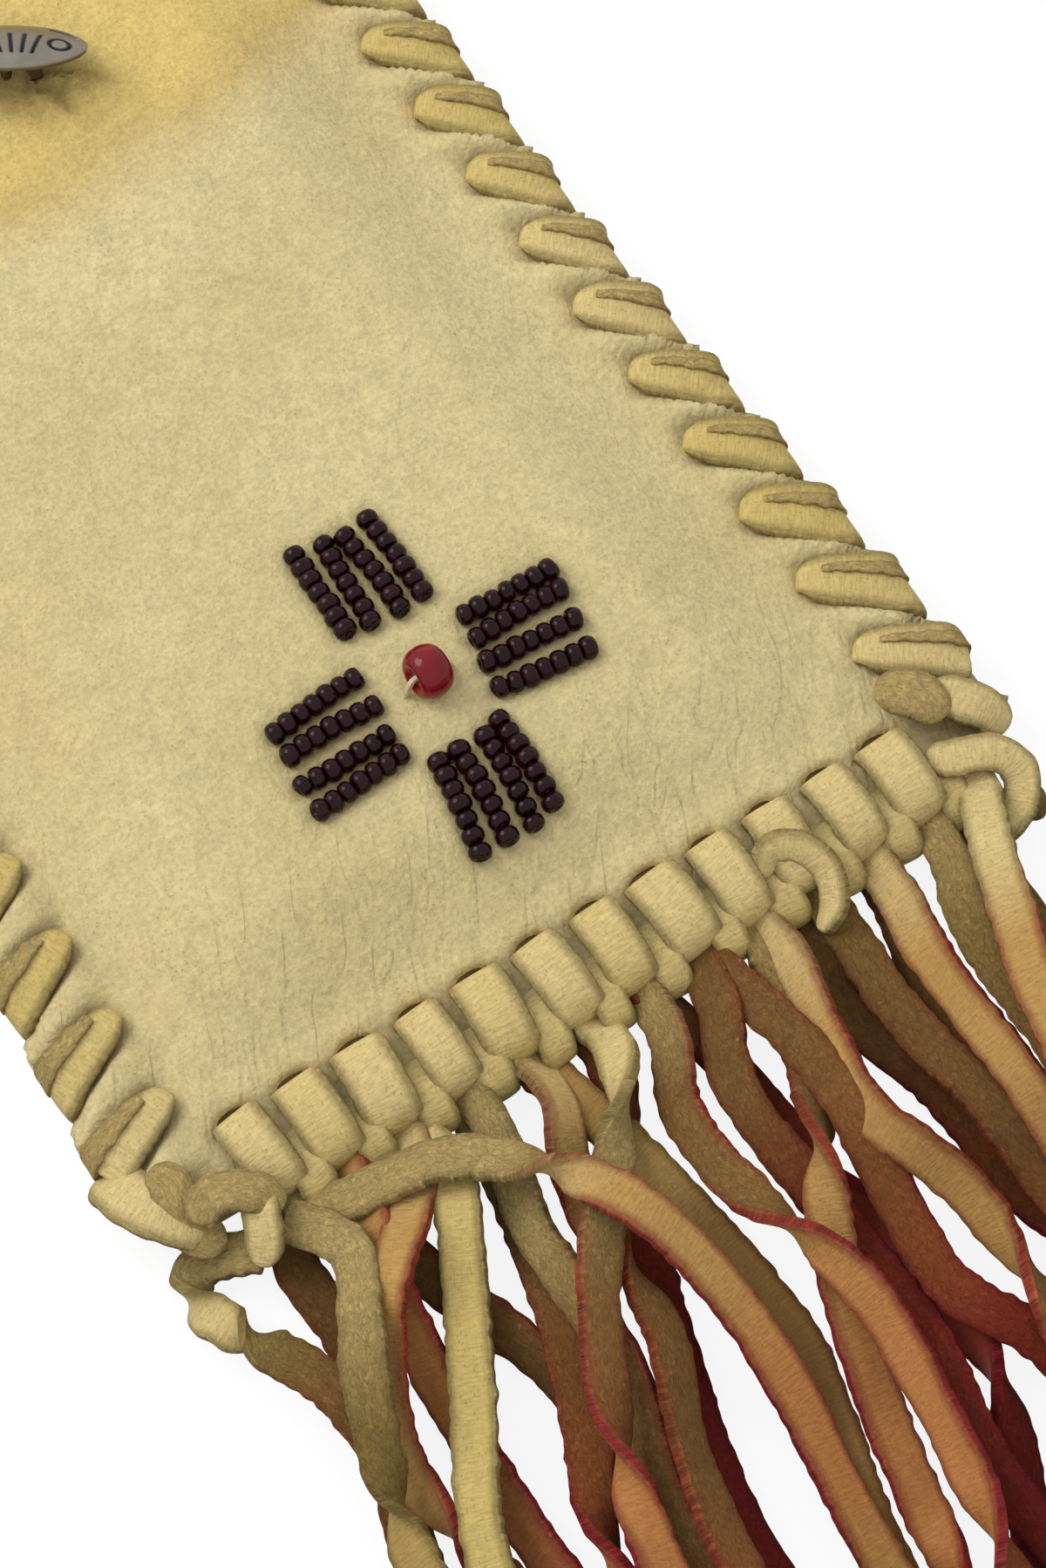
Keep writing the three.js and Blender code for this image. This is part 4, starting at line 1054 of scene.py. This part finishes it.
LACE_TAILS = [
    ("left", "ffgfff", "bbbknn", 0,
     [(-47.5, -90.0), (-51.5, -87.6), (-55.0, -87.2), (-56.8, -90.2), (-55.6, -94.0), (-53.3, -99.6),
      (-50.3, -107.6), (-49.3, -115.6)]),
    ("left", "fffggg", "bbkkkn", 15,
     [(-44.0, -88.4), (-42.5, -90.4), (-40.6, -93.7), (-40.4, -97.4), (-44.3, -104.6), (-48.3, -112.6),
      (-52.3, -124.6), (-54.3, -140.6), (-52.3, -158.6)]),
    ("right", "gggggg", "bbtttoo", 20,
     [(48.0, -87.3), (48.6, -90.1), (44.9, -97.5), (40.4, -107.5), (36.3, -117.5), (32.3, -137.5),
      (34.3, -157.5)]),
]
print(len(TAILS) + len(LACE_TAILS), "tails")

# %% Laying the tails
GROUND, TAIL_STEP, TAIL_SLOPE, TAIL_HALF, TAIL_THICK = 0.25, 0.75, 0.36, 2.6, 1.7
ROOT_RISE, ROOT_HEIGHT, LACE_END_HEIGHT, TAIL_CUP = 0.36, 2.6, 4.5, -0.15
SETTLE, SINK, EASING_PASSES = 0.85, 0.5, 12
heap = {}


def heap_top(x, y):
    return heap.get((round(x), round(y)), GROUND)


def lay_tail(bm, plan, sides, recipe, tilt, seed, lift):
    line = smooth_line([(*p, 0) for p in plan], TAIL_STEP)
    count = len(line)
    turns = []
    for i in range(count):
        first, second, mix = blend(sides, i / (count - 1))
        a, b = (0.0 if s == "g" else math.pi for s in (first, second))
        wander = 0.35 * noise.noise(Vector((i * TAIL_STEP / 14, seed, 0)))
        turns.append(a + (b - a) * soft_step(mix, 0, 1) + math.radians(tilt) + wander)
    lows, reaches = [], []
    for i, p in enumerate(line):
        ahead = (line[min(i + 1, count - 1)] - line[max(i - 1, 0)]).normalized()
        side = Vector((-ahead.y, ahead.x, 0))
        reach = side * abs(math.cos(turns[i])) * TAIL_HALF
        room = abs(math.cos(turns[i])) * TAIL_THICK / 2 + abs(math.sin(turns[i])) * TAIL_HALF
        under = max(heap_top(*(p + reach * k / 2).xy) for k in range(-2, 3))
        lows.append(under + SETTLE * room)
        reaches.append((reach, room))
    lows = [min(low, lift + ROOT_RISE * TAIL_STEP * i) for i, low in enumerate(lows)]
    lows[0] = max(lows[0], lift)
    heights = [max(lows[k] - TAIL_SLOPE * TAIL_STEP * abs(i - k) for k in range(count)) for i in range(count)]
    for _ in range(EASING_PASSES):
        padded = [heights[0], *heights, heights[-1]]
        heights = [max((a + 2 * b + c) / 4, low - SINK, GROUND + room)
                   for a, b, c, low, (_, room) in zip(padded, heights, padded[2:], lows, reaches)]
    halves = []
    for i, p in enumerate(line):
        p.z = heights[i]
        halves.append(TAIL_HALF * (1 + 0.12 * noise.noise(Vector((i * TAIL_STEP / 9, seed, 4)))))
        reach, room = reaches[i]
        for k in range(-4, 5):
            spot = p + reach * k / 4
            cell = (round(spot.x), round(spot.y))
            heap[cell] = max(heap.get(cell, GROUND), heights[i] + room)
    sweep(bm, level_stations(line, turns, halves, TAIL_CUP, recipe, TAIL_THICK), seed, rag=0.5)


for order, (strip, sides, recipe, tilt, bends) in enumerate(TAILS):
    hole = fringe_holes[strip - 1]
    root = Vector((hole.x, bottom_edge(hole.x) - 0.4))
    plan = [root, *(root + Vector(bend) for bend in bends)]
    lay_tail(fringe_strips[strip - 1], plan, sides, recipe, tilt, TAIL_SEED + order, ROOT_HEIGHT)
for order, (name, sides, recipe, tilt, plan) in enumerate(LACE_TAILS):
    lay_tail(lace_pieces[name], plan, sides, recipe, tilt, LACE_TAIL_SEED + order, LACE_END_HEIGHT)
print("the heap is", round(max(heap.values()), 1), "mm high")

# %% Finishing laces and fringe
for i, bm in enumerate(fringe_strips):
    node = f"fringe_strip_{i + 1:02d}"
    finish_strip(bm, node + "_dyed", [node])
for name, bm in lace_pieces.items():
    finish_strip(bm, f"side_lace_{name}_hide", [f"side_lace_{name}"])

# %% [markdown]
# ## Seed beads
# A seed bead is a short drawn tube, tumbled until its ends are round. A torus would have the wrong
# section, so a profile is spun about the bore. Four lanes of seven make a square, and each bead gets
# its own small tilt and size, as sewn.

# %% Seed beads
SEED_RADIUS, SEED_LENGTH, SEED_BORE, BEADS = 1.4, 1.85, 0.2, 7
SEED_TILT, SEED_STRAY, LANE_BOW, BEAD_SEAT = 7, 0.1, 0.25, 0.9


def spun_ring(bm, bore, radius, length, around, steps):
    """Rounded ring about the X axis; around is the number of vertices of its profile."""
    profile = []
    for k in range(around):
        angle = 2 * math.pi * k / around
        out = (radius + bore) / 2 + math.sin(angle) * (radius - bore) / 2
        profile.append(bm.verts.new((math.cos(angle) * length / 2, out, 0)))
    edges = [bm.edges.new((profile[k - 1], profile[k])) for k in range(around)]
    bmesh.ops.spin(bm, geom=profile + edges, cent=(0, 0, 0), axis=(1, 0, 0), angle=2 * math.pi,
                   steps=steps, use_merge=True, use_duplicate=False)
    bmesh.ops.remove_doubles(bm, verts=bm.verts, dist=1e-4)
    bmesh.ops.recalc_face_normals(bm, faces=bm.faces)


seed_bm = bmesh.new()
spun_ring(seed_bm, SEED_BORE, SEED_RADIUS, SEED_LENGTH, around=10, steps=16)
seed_mesh = bpy.data.meshes.new("seed_bead_pattern")
seed_bm.to_mesh(seed_mesh)
seed_bm.free()
print("a seed bead has", len(seed_mesh.polygons), "faces")

# %% Lanes of seed beads
for name, lanes in LANES.items():
    bm = bmesh.new()
    for mid_x, mid_y, turn in lanes:
        way = Vector((math.cos(math.radians(turn)), math.sin(math.radians(turn))))
        bow = rng.uniform(-LANE_BOW, LANE_BOW)
        for k in range(BEADS):
            before = len(bm.verts)
            bm.from_mesh(seed_mesh)
            bm.verts.ensure_lookup_table()
            bead = bm.verts[before:]
            step = k - (BEADS - 1) / 2
            spot = Vector((mid_x, mid_y)) + way * step * SEED_LENGTH
            stray = rng.uniform(-SEED_STRAY, SEED_STRAY)
            spot += Vector((-way.y, way.x)) * (bow * (1 - (2 * step / (BEADS - 1)) ** 2) + stray)
            size = rng.uniform(0.94, 1.05)
            bmesh.ops.scale(bm, vec=(size, size, size), verts=bead)
            for axis in "YZ":
                tilt = Matrix.Rotation(math.radians(rng.gauss(0, SEED_TILT)), 3, axis)
                bmesh.ops.rotate(bm, cent=(0, 0, 0), matrix=tilt, verts=bead)
            along_lane = Matrix.Rotation(math.radians(turn), 3, "Z")
            bmesh.ops.rotate(bm, cent=(0, 0, 0), matrix=along_lane, verts=bead)
            rest = front_top(*spot) + SEED_RADIUS * BEAD_SEAT
            bmesh.ops.translate(bm, vec=(spot.x, spot.y, rest), verts=bead)
    nodes = [f"bead_lane_{name}_{k + 1}" for k in range(4)]
    finish_piece(bm, f"beadwork_{name}", garnet_glass, nodes)

# %% [markdown]
# ## Red bead and its thread
# The large bead is a ring too, of red glass over a pale core that shows at its ends. Its thread goes
# through the bore and down into the hide on both sides. It is a thin strip like the laces, because a
# sweep that exists already needs no second tool.

# %% Red bead and its thread
RED_RADIUS, RED_LENGTH, RED_BORE, CORE_RADIUS, RED_TILT, RED_SEAT = 3.2, 4.3, 0.5, 0.6, 8, 0.95
# Distance from the bead's middle, and share of the way from the hide up to the bore.
THREAD_WAY = [(-3.3, 0.0), (-2.7, 0.6), (-2.0, 1.0), (0, 1.0), (2.0, 1.0), (2.7, 0.6), (3.3, 0.0)]
THREAD_HALF, THREAD_THICK, THREAD_DEPTH = 0.3, 0.7, 0.5
bm = bmesh.new()
spun_ring(bm, RED_BORE, RED_RADIUS, RED_LENGTH, around=20, steps=40)
core_layer = bm.verts.layers.float.new("core")
for v in bm.verts:
    v[core_layer] = soft_step(CORE_RADIUS + 0.3 - v.co.yz.length, 0.0, 0.5)
tilt = Matrix.Rotation(math.radians(RED_TILT), 3, "Y")
bmesh.ops.rotate(bm, cent=(0, 0, 0), matrix=tilt, verts=bm.verts)
bead_height = front_top(*RED_BEAD_PLACE) + RED_RADIUS * RED_SEAT
bmesh.ops.translate(bm, vec=(*RED_BEAD_PLACE, bead_height), verts=bm.verts)
red_bead = finish_piece(bm, "red_bead_glass", red_glass, ["centre_bead"], smoothing=1)

bm = new_strip()
thread_stops = []
for step, share in THREAD_WAY:
    x = RED_BEAD_PLACE.x + step
    low = front_top(x, RED_BEAD_PLACE.y) - THREAD_DEPTH
    z = low + (bead_height - low) * share
    thread_stops.append((x, RED_BEAD_PLACE.y, z, THREAD_HALF, 0.0, 0, 1, 0))
sweep(bm, guided_stations(thread_stops, "b", 0.4, thick=THREAD_THICK), seed=1, rag=0.05)
bmesh.ops.recalc_face_normals(bm, faces=bm.faces)
red_bead_thread = finish_piece(bm, "red_bead_thread", sewing_thread, ["centre_bead_thread"],
                               smoothing=1)

# %% [markdown]
# ## Silver button
# The plate is a thin almond of sheet silver with rounded tips, domed over a block and stamped with
# plain bars, rings and lines that follow its rim. Cutting each stamp would make ragged edges, so a fine
# grid is drawn out to the almond and the stamps sink into it. A round wire shank is soldered under it,
# a little off its middle, and rocks on a thong that is tied through the hide.

# %% Stamps of the button
PLATE_LENGTH, PLATE_WIDTH, PLATE_SHIFT, PLATE_THICK, PLATE_DOME = 10.0, 5.3, -0.9, 0.9, 1.4
STAMP_DEPTH, STAMP_LINE = 0.2, 0.24
BARS, BAR_LOW, BAR_HALF = [-4.6, -2.8, -1.0, 0.8, 2.5, 4.2], 1.1, 1.8
BAR_FAN, BAR_FAN_MIDDLE = 0.1, 2.2
RINGS, RING_LOW, RING_LONG, RING_WIDE = [-6.7, 6.7], 0.8, 1.2, 1.05
# Where a line along the rim starts and ends, and its share of the way from the long axis to the rim.
RIM_LINES, RIM_LINE_SCALE = [(5.2, 9.0, 0.66), (4.2, 8.6, 0.86)], 3.2


def stamp(x, y, rim):
    """How deep the nearest stamped mark is; rim is 0 on the long axis and 1 at the edge."""
    far = PLATE_LENGTH
    for bar in BARS:
        aside = abs((x - bar) - BAR_FAN * (bar - BAR_FAN_MIDDLE) * y)
        beyond = max(abs(y + BAR_LOW) - BAR_HALF, 0.0)
        far = min(far, math.hypot(aside, beyond))
    for ring in RINGS:
        away = math.hypot((x - ring) / RING_LONG, (y + RING_LOW) / RING_WIDE)
        far = min(far, abs(away - 1) * RING_WIDE)
    for first, last, at in RIM_LINES:
        if first < abs(x) < last:
            far = min(far, abs(rim * (1 if y > 0 else -1) - at) * RIM_LINE_SCALE)
    return 1 - soft_step(far, STAMP_LINE * 0.6, STAMP_LINE * 1.5)


print(len(BARS), "bars,", len(RINGS), "rings and", len(RIM_LINES), "rim lines to stamp")

# %% Silver button
BUTTON_TURN, BUTTON_LEAN = math.radians(-34.2), math.radians(-31)
EYE_HEIGHT, EYE_RADIUS, WIRE, SOLDER, SHANK_TARNISH_AND_SHADE = 13.2, 1.29, 1.2, 0.7, 0.8
PLATE_LOW = EYE_RADIUS + WIRE + GAP - PLATE_DOME


def seat_button(bm):
    bmesh.ops.rotate(bm, cent=(0, 0, 0), matrix=Matrix.Rotation(BUTTON_LEAN, 3, "X"), verts=bm.verts)
    bmesh.ops.rotate(bm, cent=(0, 0, 0), matrix=Matrix.Rotation(BUTTON_TURN, 3, "Z"), verts=bm.verts)
    bmesh.ops.translate(bm, vec=(*BUTTON_PLACE, EYE_HEIGHT), verts=bm.verts)


bm = bmesh.new()
bmesh.ops.create_grid(bm, x_segments=180, y_segments=80, size=1)
recess_layer = bm.verts.layers.float.new("recess")
for v in bm.verts:
    x, rim = 0.997 * PLATE_LENGTH * v.co.x, v.co.y
    half = PLATE_WIDTH * (1 - abs(x / PLATE_LENGTH) ** 2.2) ** 0.65
    out = (x / PLATE_LENGTH) ** 2
    fall = out + rim ** 2 * (1 - out)
    deep = stamp(x, rim * half, abs(rim))
    v[recess_layer] = deep
    height = PLATE_LOW + PLATE_THICK + PLATE_DOME * (1 - fall) - STAMP_DEPTH * deep
    v.co = (x, rim * half + PLATE_SHIFT, height)
bmesh.ops.remove_doubles(bm, verts=bm.verts, dist=1e-4)
seat_button(bm)
finish_piece(bm, "button_plate_silver", silver, ["button_plate"], body="button", wall=PLATE_THICK)

bm = bmesh.new()
spun_ring(bm, EYE_RADIUS, EYE_RADIUS + WIRE, WIRE, around=12, steps=32)
shank_tarnish_and_shade_layer = bm.verts.layers.float.new("recess")
solder = bmesh.ops.create_uvsphere(bm, u_segments=16, v_segments=8, radius=SOLDER)["verts"]
bmesh.ops.translate(bm, vec=(0, 0, EYE_RADIUS + WIRE), verts=solder)
# The whole shank is darkened: partly tarnish, partly painted shade under the plate.
for v in bm.verts:
    v[shank_tarnish_and_shade_layer] = SHANK_TARNISH_AND_SHADE
seat_button(bm)
finish_piece(bm, "button_shank_wire", silver, ["button_shank"], body="button")

# %% [markdown]
# The thong is a narrow strip. It rises from the hide, passes through the shank's eye and dives again.
# It stays with the bag, because the button rocks on it.

# %% Thong of the button
THONG_LEG, THONG_HALF = 3.2, 0.8
# Share of a leg from the middle, and height.
THONG_WAY = [(-1.1, 8.4), (-1.0, 10.6), (-0.85, 12.4), (-0.4, 13.15),
             (0.4, 13.15), (0.85, 12.4), (1.0, 10.6), (1.1, 8.4)]
run = Vector((math.cos(BUTTON_TURN), math.sin(BUTTON_TURN)))
bm = new_strip()
thong_stops = []
for step, z in THONG_WAY:
    spot = BUTTON_PLACE + run * step * THONG_LEG
    thong_stops.append((*spot, z, THONG_HALF, 0.0, -run.y, run.x, 0))
sweep(bm, guided_stations(thong_stops, "n", 0.5), seed=2)
bmesh.ops.recalc_face_normals(bm, faces=bm.faces)
button_thong = finish_piece(bm, "button_thong_hide", waxed_thong, ["button_thong"], smoothing=1)

# %% [markdown]
# ## Room and floor
# The bag lies on plain white paper, and the room fills the shadows. A white floor under a strong lamp
# would take on the colour of the hide. So the paper is grey to the light, which gives soft shadows, and
# glows white to whatever looks at it. The floor's size and the lamp's place are in metres.

# %% Room and floor
ROOM_LIGHT, PAPER_GREY, PAPER_GLOW, FLOOR_SIZE, FLOOR_DROP = 0.75, 0.14, 0.87, 1.5, 0.2


def looked_at(tree):
    """One for rays that show a thing to the camera, straight, by reflection or through glass."""
    rays = add(tree, "LightPath").outputs
    seen = add(tree, "Math", {0: rays["Is Camera Ray"], 1: rays["Is Glossy Ray"]}, operation="MAXIMUM")
    return add(tree, "Math", {0: seen, 1: rays["Is Transmission Ray"]}, operation="MAXIMUM")


world = bpy.data.worlds.new("studio")
world.use_nodes = True
sky = world.node_tree
level = add(sky, "MapRange", {"Value": looked_at(sky), "To Min": ROOM_LIGHT, "To Max": 1.0})
feed(sky, sky.nodes["Background"], {"Color": (1, 1, 1, 1), "Strength": level})
bpy.context.scene.world = world

paper, tree, shader = begin("white_studio_paper", Roughness=0.9, Emission_Color=(1, 1, 1, 1),
                            Base_Color=(PAPER_GREY, PAPER_GREY, PAPER_GREY, 1))
glow = add(tree, "Math", {0: looked_at(tree), 1: PAPER_GLOW}, operation="MULTIPLY")
feed(tree, shader, {"Emission Strength": glow})
bm = bmesh.new()
bmesh.ops.create_grid(bm, x_segments=1, y_segments=1, size=FLOOR_SIZE)
bmesh.ops.translate(bm, vec=(0, 0, -FLOOR_DROP * MM), verts=bm.verts)
mesh = bpy.data.meshes.new("paper_floor")
bm.to_mesh(mesh)
bm.free()
mesh.materials.append(paper)
floor = bpy.data.objects.new("paper_floor", mesh)
bpy.context.scene.collection.objects.link(floor)
print("paper of", 2 * FLOOR_SIZE, "m")

# %% [markdown]
# ## Lamp
# One large soft lamp at the upper left gives the hide its relief. A sun would cut hard shadows between
# the strips, so an area lamp, as wide as a small window, is used.

# %% Lamp
LAMP_SIZE, LAMP_POWER, LAMP_PLACE = 0.5, 3.6, (-0.35, 0.45, 0.6)
window_light = bpy.data.lights.new("window", "AREA")
window_light.size = LAMP_SIZE
window_light.energy = LAMP_POWER
window = bpy.data.objects.new("window", window_light)
window.location = LAMP_PLACE
window.rotation_mode = "QUATERNION"
window.rotation_quaternion = (LOOK_AT - window.location).to_track_quat("-Z", "Y")
bpy.context.scene.collection.objects.link(window)
bpy.context.scene.view_settings.view_transform = "Standard"
print("lamp of", LAMP_POWER, "W")
